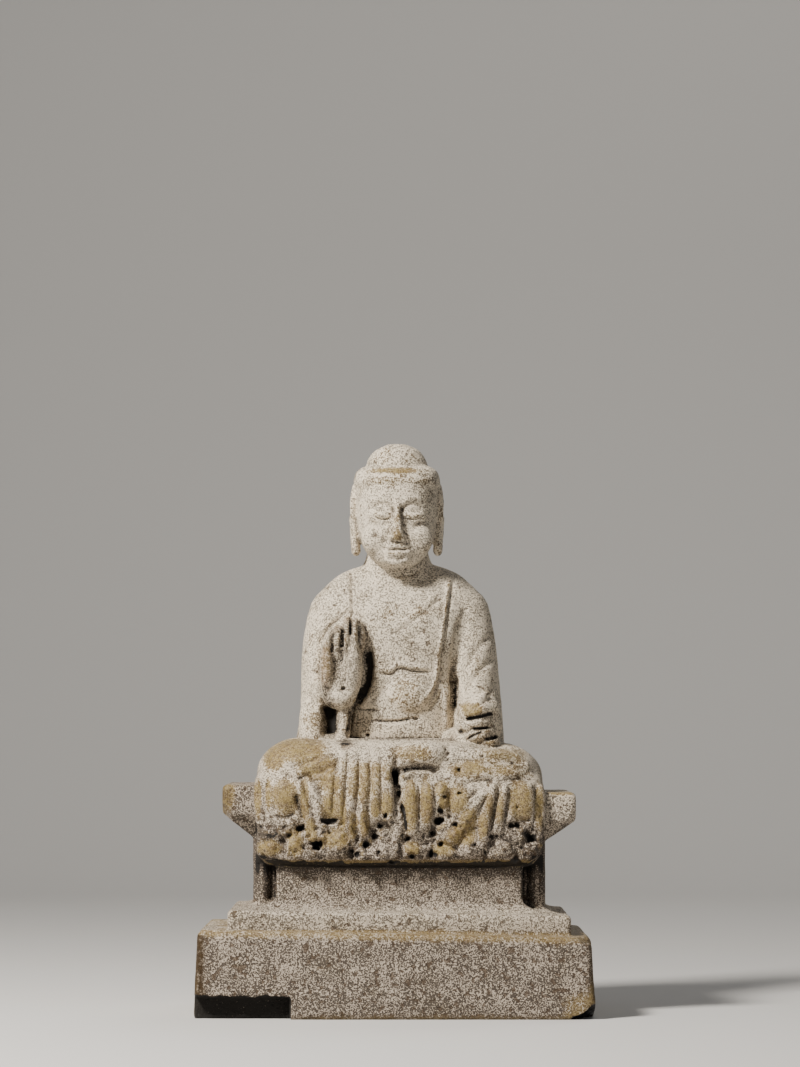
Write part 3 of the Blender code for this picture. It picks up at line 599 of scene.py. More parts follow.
# Cuts of the chisel on the front: course in x and z, width, and height (a groove counts down)
CUTS = [
    # Border of the outer robe over the chest, and the gap between the arm and the trunk
    ([(34, 138), (31.7, 130), (29.6, 112), (27.3, 98), (25.2, 86), (23.9, 73), (20.5, 63), (14, 54)],
     1.0, 1.9),
    ([(36.4, 136), (34.4, 128), (32.2, 112), (30, 98), (28, 86), (26.8, 73), (23.4, 62), (18, 53)],
     1.0, -1.0),
    ([(40, 108), (37.7, 98), (35.6, 86), (35.1, 73), (36, 62)], 2.0, -2.0),
    ([(35.4, 72), (36, 60), (34.3, 49)], 2.0, -3.0), ([(27.3, 63), (25.7, 57), (19.2, 49)], 1.1, -1.2),
    ([(31, 64), (30, 50), (31, 38)], 1.6, 1.2),
    ([(-32.6, 142), (-31.8, 138), (-31.4, 124), (-31, 109)], 0.8, -1.9),
    # Neck rings, the under-robe and the girdle
    ([(-17, 143), (-8, 137.6), (0, 136.6), (9, 138), (16, 143)], 1.0, -0.7),
    ([(-21, 138), (-10, 131.6), (0, 130.6), (12, 132), (22, 138)], 1.0, -0.6),
    ([(-6, 98), (0.5, 101), (9.2, 107.2), (21.3, 116.8), (27, 125)], 1.2, -0.8),
    ([(-2, 104), (8, 110), (20, 120), (26, 128)], 1.8, 0.6),
    ([(0, 92), (12, 98), (24, 108)], 1.6, -0.5),
    ([(-14.8, 73.6), (-5.4, 72.6), (-0.5, 76.2), (10, 74.5), (20.7, 74.2)], 0.9, -2.0),
    ([(-14, 76), (-5.2, 75.2), (-0.5, 78.8), (10, 77), (20, 76.6)], 1.4, 1.1),
    ([(-29, 50.2), (-20, 50), (-11.9, 48.9)], 0.9, -1.2),
    ([(-18.4, 43), (-4, 42.1), (10, 44)], 1.0, -1.5), ([(-7, 71), (-11, 62), (-20, 54)], 1.3, -0.9),
    ([(1, 71), (-1, 60), (-6, 50)], 1.3, -0.4), ([(7, 70), (7, 60), (5, 50)], 1.3, -0.4),
    ([(13, 70), (14, 62), (12, 54)], 1.3, -0.4),
    # Fall of the sleeve on the viewer's right, and faint runs low on the other sleeve
    ([(44, 118), (41, 110), (37, 102)], 1.8, -0.9),
    ([(62, 100), (54, 92), (46, 82), (41, 72)], 2.2, -1.1),
    ([(63, 84), (56, 78), (49, 70), (45, 62)], 2.2, -1.1), ([(64, 68), (60, 62), (56, 56)], 1.8, -0.8),
    ([(-61, 66), (-62, 58), (-63, 50)], 1.0, -0.6), ([(-57, 62), (-58, 54), (-59, 44)], 1.0, -0.6),
    # Groove beside the hanging roll, the deep one beside the raised hand, slits, creases and hollow
    ([(-30.4, 52), (-31, 46), (-33, 33)], 1.0, -2.8),
    ([(-20.4, 94), (-19.4, 80), (-20.4, 68), (-25, 58), (-31, 51.6)], 2.7, -5.0),
    ([(-36.7, 89.5), (-36.7, 96), (-36.5, 103)], 0.65, -2.8),
    ([(-31.3, 97.5), (-31.2, 102), (-31.1, 108)], 0.6, -2.2),
    ([(-43.2, 87), (-43, 94), (-42.6, 100)], 0.6, -1.6),
    ([(-26.5, 92), (-26, 99), (-26.6, 105)], 0.8, -1.8),
    ([(-42.4, 91.4), (-39.6, 90.6), (-37, 91)], 0.6, -1.0),
    ([(-42, 97), (-39.6, 97.6), (-37, 97.2)], 0.6, -0.8),
    ([(-39.4, 90), (-39.6, 79), (-38.8, 66)], 3.2, -1.7),
    ([(-32.4, 94), (-33.8, 86), (-35.4, 74), (-36.2, 64)], 1.1, -1.6),
    ([(-46, 60), (-41, 60.4), (-36.4, 62.2)], 0.8, -0.6),
    ([(-52.4, 68), (-52, 80), (-51.4, 92)], 1.1, -1.3),
    ([(-50.6, 94), (-47, 102), (-41.4, 107.6), (-35, 113), (-27, 112), (-22, 106)], 1.1, -1.5),
    # Fingers of the hand on the knee
    ([(42.4, 43.4), (51, 44.8), (60.6, 47.4)], 0.9, -3.2),
    ([(45.4, 37.2), (52, 37.6), (58.6, 38.4)], 0.8, -2.4),
    ([(55, 30.3), (59, 31.2), (63, 32.4)], 0.9, -2.8),
    ([(43.6, 30.6), (48, 33.4), (53.6, 35.8)], 0.8, -1.5),
    ([(46.6, 50.6), (51, 52.4), (56, 54.6)], 0.8, -1.1), ([(40, 54), (40.2, 46), (40, 40)], 1.0, -1.0),
    # Lap line and the folds round the knees
    ([(-32.6, 31.3), (-14, 30.7), (0, 31), (20, 30.8), (39.2, 30.3)], 1.2, -1.3),
    ([(-46, 26), (-53, 22), (-62, 18.6), (-73.1, 15.6)], 1.6, 1.2),
    ([(-47, 21), (-56, 17), (-65, 14), (-74, 13)], 1.3, -1.3),
    ([(-78, 10.4), (-70.5, 7.4), (-63.8, 6.1), (-57.9, 8.1), (-52.6, 4.8), (-44.6, 4.4)], 1.3, -1.7),
    ([(53, 22.4), (68, 21.6), (78, 19.6)], 1.6, 1.0), ([(52, 19), (64, 17.4), (80, 15.4)], 1.3, -1.0),
    ([(60, 12.6), (70, 13.2), (80, 11)], 1.4, -0.8), ([(66, 5.2), (76, 5.6), (87, 6)], 1.2, -1.4),
    ([(34, 15.8), (40, 17.4), (50, 16.6)], 1.1, -0.9), ([(40, 2.2), (50, 4.2), (60, 5)], 1.2, -1.0),
    # Foot: the deep shade under it, and the curved hems below
    ([(-2.4, 6.8), (-1.2, 10), (7.8, 12.6), (16.7, 13), (27, 11.4)], 1.8, -3.0),
    ([(-1.2, 6), (5, 8.6), (12, 10), (19, 8.8), (24, 4.4)], 1.1, 1.2),
    ([(1, 3.4), (8, 6.6), (16, 6), (21, 3)], 0.9, -1.1), ([(20, 11), (25, 9), (29.6, 3.2)], 0.9, -1.2),
    # Grooves between the gathered folds of the middle, and the proud edge of the band
    ([(-38.6, 22), (-41, 3), (-42.4, -18)], 1.1, -1.6),
    ([(-32, 24), (-33.4, 3), (-35.4, -20)], 1.1, -1.2),
    ([(-25, 24), (-25.5, 3), (-27.6, -18), (-26.6, -34)], 1.1, -1.1),
    ([(-18.3, 24), (-18.2, 3), (-19.6, -18), (-18.6, -30)], 1.1, -1.1),
    ([(-11.4, 24), (-11.2, 3), (-11.4, -16)], 1.0, -1.0),
    ([(-2.2, 24), (-1.6, 8), (-1.2, -8), (-1.8, -20)], 1.6, -2.6),
    ([(-15.6, -22), (-9, -23.4), (-3, -21)], 1.3, -2.0),
    ([(1.3, -9.5), (3.4, -18), (4.6, -27.8)], 0.8, -2.6),
    ([(12.8, 1), (12.6, -14), (12.8, -30)], 1.0, -0.8),
    ([(22.6, 1), (22.4, -14), (21.6, -28)], 1.0, -1.0),
    ([(31.4, 0), (31.8, -14), (31, -25)], 1.2, -1.1),
    ([(5, -31), (12, -35.6), (20, -34.6), (24, -31)], 1.3, -2.4),
    ([(26, -16), (29.6, -19.4), (33, -17)], 1.2, -1.6),
    # Grooves at the right and at the left
    ([(58, -3), (52.6, -11), (47, -20)], 1.0, -1.0), ([(63.8, 0), (60.6, -13), (58, -32)], 1.0, -1.2),
    ([(70.5, 0), (68.6, -12), (66.4, -28)], 1.0, -1.1),
    ([(87, 3), (86.8, -14), (84.6, -34)], 1.0, -1.5),
    ([(70, -20.4), (77, -21.8), (86, -20)], 1.2, -2.0), ([(71, -26), (77, -30), (84, -27)], 1.2, -2.2),
    ([(-65.8, -2.8), (-63.6, -12), (-60, -26)], 1.4, -2.2),
    ([(-60.6, 0), (-56, -12), (-52.2, -26)], 0.9, -1.0),
    ([(-86.6, 2), (-86.4, -12), (-85.6, -25)], 0.9, -1.6),
    ([(-80, 0), (-79.8, -8), (-79.4, -16)], 0.8, -0.8),
    ([(-86, -33.4), (-80, -34.2), (-76, -36), (-75.2, -43)], 0.9, -1.5),
    ([(-73.9, -44.4), (-72.6, -37), (-68.4, -29.5), (-65, -25)], 0.9, -1.5),
    ([(56, -42), (58.7, -34.5), (64.7, -29.5), (71, -30.8)], 0.9, -1.6),
    ([(31, -17.6), (36, -19.6), (41.5, -21.6)], 1.0, -1.4),
    ([(-47, -26), (-46, -34), (-47, -44)], 0.9, -1.3),
    ([(43.4, -9), (45.4, -5.5), (50, -1)], 0.9, -1.0), ([(13, -37), (14, -42), (13.4, -47)], 0.9, -1.5),
    ([(-80, -17.6), (-74, -18.8), (-70, -18), (-65.2, -15.4)], 1.2, -1.3),
    ([(-50.6, -20.4), (-45, -21.4), (-39, -20.6)], 1.5, -2.6),
    ([(-76, -28), (-72, -24.6), (-66, -27)], 1.4, -2.4),
    ([(-74.6, -44), (-74.2, -36), (-75.6, -30)], 1.2, -2.0),
    ([(-58, -45), (-57.4, -38), (-56, -33)], 1.3, -1.8), ([(-30.4, -33), (-30.6, -42)], 0.8, -1.8),
    ([(-22, -36), (-20, -41), (-21, -46)], 1.1, -1.8), ([(0.6, -34), (1.4, -40), (0, -46)], 1.0, -1.6),
    ([(21, -36), (20, -42), (21, -46)], 1.0, -1.6), ([(54, -38), (54.6, -42), (53.6, -47)], 1.1, -1.8),
    ([(74.6, -38), (75, -42), (74, -47)], 1.1, -2.4),
]
# Hollows too deep for a chisel line: sleeve, the heel of the hand, the end of the foot
DEEP = [
    ([(-46, 53.5), (-45.2, 46), (-44.8, 39), (-45.2, 32)], 4.6, -10.0),
    ([(-3.4, 10.6), (-3, 6.6), (-2.6, 2.4)], 1.9, -5.0),
]
# The same on the back: the robe's edge over the shoulder, and plain folds that hang from it
BACK_CUTS = [
    ([(36, 132), (18, 122), (-8, 104), (-34, 78), (-50, 52)], 2.4, -1.8),
    ([(38, 127), (22, 116), (-4, 98), (-30, 72), (-46, 46)], 2.6, 1.2),
    ([(44, 112), (30, 92), (6, 66), (-20, 44)], 2.6, -1.2),
    ([(50, 92), (40, 70), (22, 48), (0, 34)], 2.6, -1.2), ([(54, 70), (48, 52), (36, 38)], 2.4, -1.0),
    ([(-60, 60), (-58, 46), (-50, 34)], 2.2, -1.0),
    ([(-62, 26), (-30, 16), (0, 13), (30, 16), (62, 26)], 2.4, -1.3),
    ([(-24, 134), (0, 127), (24, 134)], 1.6, -0.9),
]
# Calm, plain face: from its middle line outwards and from its eye line up, mirrored
FACE_CUTS = [
    ([(3.4, 4.4), (4.2, 8.6), (8, 11.2), (13, 11.6), (18.4, 8.6)], 1.3, 0.5),
    ([(3.6, 1.6), (4.6, 5.4), (8.6, 7.2), (13, 7.2), (18.6, 4.4)], 1.9, -1.7),
    ([(4.4, -4.6), (10, -6.8), (16.4, -4.4)], 1.8, -1.1),
    ([(3.8, -0.6), (7, -2.4), (11, -2.8), (15.4, -1.4), (17.6, 0.4)], 0.7, -2.2),
    ([(4.6, 2.2), (8, 3.8), (12, 3.9), (16.6, 1.8)], 0.7, -1.0),
    ([(4.8, -10), (7.2, -14), (8.8, -18.5)], 1.4, -0.9), ([(3.0, 6), (3.2, 0), (4.2, -8)], 1.1, -1.0),
]
MOUTH_CUTS = [
    ([(-8.2, 0.9), (-3.6, -0.4), (0, 0.4), (3.6, -0.4), (8.2, 0.9)], 0.75, -2.6),
    ([(-6.6, 2.2), (-2.6, 3.0), (0, 2.2), (2.6, 3.0), (6.6, 2.2)], 0.9, 0.8),
    ([(-5.2, -2.3), (0, -3.0), (5.2, -2.3)], 1.3, 1.0),
    ([(-5.4, -5.6), (0, -6.4), (5.4, -5.6)], 1.3, -1.6), ([(0, 3.8), (0, 6.6)], 1.0, -0.9),
    ([(-8.8, 0.2), (-8.6, 1.4)], 1.0, -1.0), ([(8.8, 0.2), (8.6, 1.4)], 1.0, -1.0),
]
face = [([(FACE + side * x, EYE_LINE + z) for x, z in course], width, height)
        for course, width, height in FACE_CUTS for side in (-1, 1)]
face += [([(FACE + x, MOUTH + z) for x, z in course], width, height)
         for course, width, height in MOUTH_CUTS]
# Holes where the stone has weathered out: x, z, radius, depth
HOLES = [
    (-62.5, -26, 2.3, 7), (-52.7, -36, 2.6, 8), (-50.4, -35.6, 1.8, 6), (-21.6, -35.6, 2.2, 7),
    (-15.8, -30.4, 1.8, 6), (-12, -24.2, 1.3, 5), (-8.6, -17.8, 1.8, 5), (26, -14.4, 1.7, 5),
    (24.6, -21.2, 2.0, 5), (27, -20.4, 1.4, 5), (21, -28.4, 1.6, 6), (26.6, -35.6, 1.5, 4),
    (5.6, -32.6, 1.3, 4), (-27, -42.4, 2.0, 4), (-30, -40, 1.5, 4), (8, -43.2, 1.5, 4),
    (20.4, -41.6, 1.9, 5), (22.8, -42.4, 1.4, 5), (84, -32.4, 2.0, 5), (82, -30.6, 1.3, 5),
    (38, -3.6, 1.0, 3), (39.4, -3.6, 0.9, 3), (29, -5.4, 1.1, 3), (35, -23.6, 1.4, 4),
    (71, -24.2, 1.4, 4), (75, -24.4, 1.4, 4), (59, -31, 1.2, 3), (75, -12.4, 0.9, 3),
    (38, 11.4, 1.3, 3), (-0.1, -4, 2.0, 4), (0.4, 0.4, 1.5, 3), (-36.3, 63, 1.3, 3), (11, 43.6, 1.3, 3),
    (-20, 33.4, 1.2, 3), (29.4, 24.2, 1.1, 2), (31, 21.6, 0.9, 2), (31, 17.4, 0.9, 2),
    (53, 19.6, 1.0, 2), (72, 15.4, 0.9, 2), (48, -36, 1.2, 3), (-84, 2, 1.2, 2), (-70, -30, 1.6, 3),
    (39, 35.6, 1.5, 3), (-13, -41, 1.2, 3), (-5, -47, 1.4, 3),
]

skin = statue.data
points = read(skin)
facing = read(skin, "normal")
points += facing * marked(points, facing, PLATES, power=8)[:, None]
points += facing * marked(points, facing, CUTS + face)[:, None]
points += facing * marked(points, facing, BACK_CUTS, side=1, limit=16.0)[:, None]
points[:, 1] -= marked(points, facing, DEEP, power=3)
flat = points[:, [0, 2]] - (FIGURE_SHIFT, SEAT)
front = (facing[:, 1] < -0.1) & (points[:, 1] < 10)
ragged = 1 + 0.5 * noise(points * (1, 0, 1), 1.8, 7)
for x, z, radius, depth in HOLES:
    away = np.hypot((flat[:, 0] - x) * (0.9 + x % 0.5), flat[:, 1] - z) * ragged
    points[:, 1] += np.where(front, depth * np.exp(-((away / radius) ** 3)), 0)
write(skin, points)

# The mason was not exact: plinth and moulding slope a little to one side, and the slab's ends more
PLINTH_SLOPE = 0.017
SLAB_RIGHT = -3.4
SLAB_LEFT = 1.6
x, y, z = points.T
lean = -PLINTH_SLOPE * x * np.interp(z, (0, 40, 66, 85, 100), (0, 1, 1, 0.4, 0))
past_robe = np.clip((np.abs(x - FIGURE_SHIFT) - 84) / 10, 0, 1)
end = past_robe * np.interp(z, (100, 126, 146, 156), (0, 1, 1, 0))
points[:, 2] += lean + np.where(x > 0, SLAB_RIGHT, SLAB_LEFT) * end
write(skin, points)

# Weather: corners broken off, a ragged edge to the slot, a rough and pitted hem, edges rubbed down, and
# a gentle swell everywhere. A break is flat: a point on its plane, the plane's normal, and its reach.
FLAT_BELOW = 0.6
BREAKS = [
    ((110, -75, 0), (0.5, -0.28, -0.82), 60), ((118, 70, 53.5), (0.5, 0.5, 0.7), 60),
    ((-114, -34, 142), (-0.75, -0.4, 0.55), 30), ((-112, -30, 129), (-0.7, -0.5, -0.5), 24),
    ((114.5, -40, 128), (0.6, -0.5, -0.6), 24), ((116, -33, 144), (0.6, -0.3, 0.7), 24),
    ((110, -57, 66), (0.6, -0.5, 0.6), 26), ((-106, -59, 65.4), (-0.5, -0.5, 0.7), 20),
    ((-124, -73, 50), (-0.6, -0.5, 0.6), 24), ((-118, -75, 15.5), (-0.1, -0.6, -0.8), 9),
    ((122, -73, 51.5), (0.5, -0.5, 0.7), 24),
]
facing = read(skin, "normal")
for through, normal, reach in BREAKS:
    normal = np.array(normal) / np.linalg.norm(normal)
    near = np.flatnonzero(np.linalg.norm(points - through, axis=1) < reach)
    past = (points[near] - through) @ normal
    past = past + 0.9 * noise(points[near], 7) + 0.4 * noise(points[near], 3)
    points[near] -= np.clip(past, 0, None)[:, None] * normal
x, y, z = points.T
near_slot = (x < SLOT["end"] + 5) & (z > 2) & (z < SLOT["roof"] + 5)
slot_edge = np.flatnonzero(near_slot & (y < PLINTH["front"] + 9))
points[slot_edge, 2] += 1.5 * noise(points[slot_edge], 6, 7) + 0.8 * noise(points[slot_edge], 2.5, 8)
flat = points[:, [0, 2]] - (FIGURE_SHIFT, SEAT)
hem = np.flatnonzero((points[:, 1] < -44) & (flat[:, 1] > -51) & (flat[:, 1] < 12))
rough = np.interp(flat[hem, 1], (-50, -46.5, -44, -28, -16), (0.1, 0.35, 1, 1, 0.12))
lift = rough * (0.9 * noise(points[hem], 6.5, 1) + 1.0 * noise(points[hem], 3.0, 2))
pitted = np.clip(noise(points[hem], 2.6, 3) * 2.4 - 0.9, 0, 1)
points[hem] += facing[hem] * (lift - rough * 1.6 * pitted)[:, None]
bend = ((points - spread(skin, points, 6)) * facing).sum(1)
above = points[:, 2] > SEAT
swell = 0.35 * noise(points, 12, 4) + 0.18 * noise(points, 5, 5)
rubbed = np.clip(bend - 0.10, 0, 0.8) * np.where(above, 0.8, 1.6) * (0.9 + 0.9 * noise(points, 8, 6))
points += facing * (np.where(above, 1.0, 0.7) * swell - rubbed)[:, None]
points[:, 2] = np.where(points[:, 2] < FLAT_BELOW, 0.0, points[:, 2])
write(skin, points)

# What the weather left on the stone, and painted shade, for its colours. Wear shows the honey stone
# through the pale crust on whatever stands out; black soil lies in whatever is sunk, and painted shade
# joins it where shadows fall; pale is how white the surface looks. First the places rubbed bare on the
# front: x, z, half width and half height.
WORN = [
    (-66, 24, 19, 8), (-80, 19, 8, 8), (-52, 13, 13, 8), (-72.5, -6, 9, 11), (-90, -6, 2.4, 12),
    (-83, -4, 2.2, 9), (-60, -8, 3, 14), (-56, -26, 4, 8), (-44, 3, 7, 7), (-43, -12, 7, 9),
    (-40, -32, 9, 6), (-83, -38, 8, 5), (-66, -35, 5, 9), (-36, -15, 2.5, 14), (-29, -24, 3, 9),
    (-22, -22, 3, 8), (-15, -13, 3, 7), (-8, -10, 4.5, 8), (7, -12, 5, 16), (17, -8, 4, 14),
    (27, 0, 5, 5), (28, -9, 3, 5), (36, -8, 8, 9), (28, -38, 7, 5), (8, -38, 5, 4), (44, -20, 6, 8),
    (53, -24, 3, 9), (77, -9, 8, 12), (89, -12, 3, 14), (40, -30, 9, 7), (-111, -5, 6, 10),
    (-114, -12, 4, 9), (104, -2, 12, 3), (-10, 216, 8, 5), (46, 50, 7, 5), (-2, 205, 20, 2),
    (47, 13, 8, 5),
]
# Places where the crust is half gone, and where it is only thinned
HALF_WORN = [
    (42, 11, 11, 6), (66, 20, 18, 6), (62, 12, 14, 5), (-20, 12, 14, 5), (9, 22, 13, 6),
    (FACE, NOSE_BASE + 3, 3.4, 3.4), (57, -10, 3, 11), (64, -12, 3, 13), (-22, 2, 14, 12),
]
THIN = [
    (-2, 205, 29, 3.6), (FACE, NOSE_BASE + 3, 4, 4), (-60, 96, 5, 30), (-56, 44, 8, 12),
    (56, 74, 9, 22), (30, 68, 5, 26), (44, 114, 9, 14), (-46, 82, 6, 14), (FACE, NOSE_BASE + 13, 3, 10),
    (80, 10, 7, 6), (-2, 198, 26, 5), (8, 214, 10, 6), (4, 60, 14, 12), (0, 112, 16, 8),
]
# Black soil in the hollows, with painted shade where shadows fall: course in x and z, half width, how
# much
SOIL_AND_SHADE_MARKS = [
    ([(-38, 28.4), (-34.4, 28.8), (-31, 28)], 2.0, 0.8), ([(-32, 50), (-32, 44), (-34, 34)], 1.2, 0.5),
    # painted shadow: the dark crescent that the raised hand casts on the chest beside it
    ([(-20, 88), (-19, 78), (-20.2, 67), (-26, 56)], 2.6, 0.7),
    # painted shade in and round the hollow under the heel of the raised hand
    ([(-44, 50), (-43, 44), (-43, 34)], 3.2, 0.7), ([(-48, 54), (-47.4, 46), (-47.4, 33)], 4.5, 0.33),
    ([(-50, 66), (-47, 58), (-43, 53)], 4.0, 0.3),
    ([(-36, 106), (-37, 88), (-37.6, 72), (-38, 58)], 12, 0.2),
    # the second mark is painted shade under the foot
    ([(-4, 11), (-3, 6), (-2.6, 2)], 2.0, 0.9), ([(0, 9.6), (8, 11.6), (17, 12)], 1.2, 0.25),
    ([(-36.7, 101), (-36.7, 95), (-36.7, 90)], 0.6, 0.4), ([(-31.2, 106), (-31.3, 98)], 0.5, 0.25),
    # painted shade low in the gap between the arm and the trunk
    ([(36, 66), (36, 60), (36.6, 50)], 1.2, 0.4),
    ([(-50.6, -20.4), (-45, -21.4), (-39, -20.6)], 1.6, 0.8),
    ([(1.3, -9.5), (3.4, -18), (4.6, -27.8)], 0.9, 0.9),
    ([(-66, -4), (-63.6, -12), (-61, -20)], 1.0, 0.2),
    ([(42.4, 43.4), (51, 44.8), (60.6, 47.4)], 1.1, 0.9),
    ([(55, 30.3), (59, 31.2), (63, 32.4)], 1.2, 0.9),
    ([(47, 37.2), (52, 37.6), (57.6, 38.4)], 0.9, 0.7),
    ([(43.6, 30.6), (48, 33.4), (53.6, 35.8)], 0.8, 0.6),
    ([(-18.4, 43), (-4, 42.1), (10, 44)], 0.6, 0.4), ([(-29, 50.2), (-11.9, 48.9)], 0.6, 0.3),
    ([(-32.6, 31.3), (-14, 30.7), (20, 30.8), (39.2, 30.3)], 0.8, 0.35),
    ([(-80, -17.6), (-72, -18.6), (-65.2, -15.4)], 1.0, 0.25),
    ([(57, -30), (64, -32), (72, -33)], 2.0, 0.3), ([(-84, -31), (-76, -30), (-70, -33)], 1.6, 0.4),
]
# Brown stains and one smooth brown patch, the same measures
STAIN = [
    ([(-47, 94), (-48, 80), (-48, 62)], 4.5, 1.0),
    ([(-46, 98), (-40, 104), (-33, 108), (-25, 104)], 3.5, 0.7),
    ([(-23, 104), (-22, 92), (-22.6, 82)], 2.5, 0.6), ([(-45, 50), (-44, 40)], 6, 0.7),
    ([(-37, 118), (-31, 122)], 0.9, 1.0), ([(32, 104), (31, 84), (28, 64)], 2.0, 0.15),
    # the first mark here browns a smooth patch between the belly and the resting hand
    ([(33, 34), (36, 31)], 3.5, 0.4), ([(-37, 28), (-31, 27)], 3.5, 0.9),
]

facing = read(skin, "normal")
bend = (points - spread(skin, points, 8)) * facing
bend = spread(skin, bend.sum(1)[:, None], 2)[:, 0]
worn = np.clip(bend * 1.6 - 0.12, 0, 0.7)
soil_and_shade = np.clip(-bend * 0.7 - 0.05, 0, 0.3) + marked(points, facing, SOIL_AND_SHADE_MARKS, power=4)
flat = points[:, [0, 2]] - (FIGURE_SHIFT, SEAT)
fading = np.clip((16 - points[:, 1] + 9 * noise(points, 9, 9)) / 30, 0, 1)
front = (facing[:, 1] < 0.3) * fading
for places, share in ((WORN, 0.95), (HALF_WORN, 0.66), (THIN, 0.45)):
    for x, z, half_width, half_height in places:
        away = np.hypot((flat[:, 0] - x) / (half_width * 1.2), (flat[:, 1] - z) / (half_height * 1.2))
        worn = np.maximum(worn, front * np.exp(-(away**3)) * (share + 0.3 * bend))
for x, z, radius, depth in HOLES:
    away = np.hypot((flat[:, 0] - x) * (0.9 + x % 0.5), flat[:, 1] - z) * ragged / radius
    soil_and_shade = np.maximum(soil_and_shade, front * min(1, 0.2 * depth) * np.exp(-(away**4)))

# The plinth is rubbed along its upper edge, its corners and its foot
x, y, z = points.T
seen = facing[:, 1] < -0.3
lip = PLINTH["top"] - PLINTH_SLOPE * x
rim = np.exp(-(((z - lip + 1) / 4.2) ** 4)) + np.exp(-(((np.abs(x) - 127) / 4) ** 4)) * seen
rim = rim + np.exp(-((z / 3) ** 2)) + np.exp(-(np.hypot(x - 119, z - 7) / 14) ** 4)
worn = np.where(z < PLINTH["top"] + 2, np.maximum(worn * 0.5, 0.6 * rim), worn)

# Soil and painted shade blacken the slot; painted shade darkens the robe's underside, the band of the
# waist under the robe, the recesses round the waist's panel, and the underside of the broken corner
beside = np.abs(x - FIGURE_SHIFT)
# the slot's inside: partly dark soil, partly painted shade
in_slot = (z < SLOT["roof"] + 2.5) & (x < SLOT["end"] + 1) & (y > PLINTH["front"] + 0.8)
in_slot &= y < PLINTH["front"] + SLOT["depth"] + 3
# painted shade: the underside of the robe's hem
under_robe = (z < SEAT - 49) & (z > SEAT - 56) & (facing[:, 2] < -0.6)
# painted shade: the recesses between the waist's panel and its corner posts
recess = (beside > PANEL_HALF - 1) & (y < -20) & (z > 74) & (z < 122) & (np.abs(facing[:, 0]) > 0.2)
# painted shadow: the band of the waist just under the robe's hem, where the robe casts its shadow
shaded = np.interp(z, (84, 90, 95, 98, 101, 102), (0, 0.12, 0.5, 0.9, 0.9, 0))
shaded = shaded * ((facing[:, 1] < -0.5) & (y > -50) & (beside < 92))
# painted shade: the downward faces of the broken lower right corner
undercut = (facing[:, 2] < -0.4) & (z < 20) & (z > 0.5) & (x > 90)
soil_and_shade = np.where(in_slot, 0.7, soil_and_shade) + 0.8 * undercut + 0.95 * under_robe + 0.3 * recess + 0.9 * shaded

# Deep amber where the bare stone is darkest: both edges of the plinth and the slab's left end; along the
# plinth's foot it is painted contact shade, and on the robe's lower lip, which curls under, partly
# painted shade
at_front = np.clip((-42 - y + 10 * noise(points, 9, 10)) / 26, 0, 1)
amber_and_shade = 1.6 * np.exp(-(((x + 126) / 6) ** 4)) * (z < 53) * at_front
# painted contact shade: a dark line along the plinth's foot
amber_and_shade += 0.7 * np.exp(-((z / 2.5) ** 2)) * seen
amber_and_shade += np.exp(-(np.hypot((x + 113) / 9, (z - 138) / 12) ** 4)) * fading * 0.6
amber_and_shade += np.exp(-(((x - 125) / 3) ** 4)) * (z < 50) * at_front * 0.7
# the robe's lower lip: honey wear, with deep amber that is partly painted shade
lower_lip = np.exp(-(((z - SEAT + 48.2) / 2.8) ** 4)) * (y < -42)
amber_and_shade += lower_lip * 0.35
worn = np.maximum(worn, lower_lip * 0.85)
stain = marked(points, facing, STAIN, limit=-6.0, power=6)
# whitest on the figure and the tier's top, darkest on the waist and down the plinth: partly the crust's
# own tone, partly painted light and shade
pale = np.interp(z, (0, 50, 54, 66, 72, 100, 140, 190), (0.1, 0.2, 0.6, 0.65, 0.3, 0.2, 0.75, 1.0))
pale = pale * (1 - 0.6 * end * (x < 0))
for name, value in (("worn", worn), ("soil_and_shade", soil_and_shade), ("stain", stain), ("amber_and_shade", amber_and_shade), ("pale", pale)):
    layer = skin.attributes.new(name, "FLOAT", "POINT")
    layer.data.foreach_set("value", np.clip(value, 0, 1).astype(np.float32))
write(skin, points * unit + np.array(middle))

# The skin is squares, each two triangles, so this share of them leaves the number wanted
TRIANGLES = 196000
thin = statue.modifiers.new("thin", "DECIMATE")
thin.ratio = TRIANGLES / (2 * len(skin.polygons))
baked(statue)
statue.data.shade_smooth()


class Amount:
    """A number that varies over the surface: a shader socket with arithmetic."""

    def __init__(self, finish, socket):
        self.finish = finish
        self.socket = socket

    def maths(self, operation, first, second):
        """A Math node on two numbers."""
        return self.finish.add("ShaderNodeMath", {"operation": operation}, {0: first, 1: second})

    def __add__(self, other):
        return self.maths("ADD", self, other)

    def __mul__(self, other):
        return self.maths("MULTIPLY", self, other)

    def __sub__(self, other):
        return self.maths("SUBTRACT", self, other)

    def __rsub__(self, other):
        return self.maths("SUBTRACT", other, self)

    __radd__ = __add__
    __rmul__ = __mul__

    def over(self, start, end):
        """0 below start, 1 above end, and a smooth step between."""
        values = {"Value": self, "From Min": start, "From Max": end}
        return self.finish.add("ShaderNodeMapRange", {"interpolation_type": "SMOOTHSTEP"}, values)


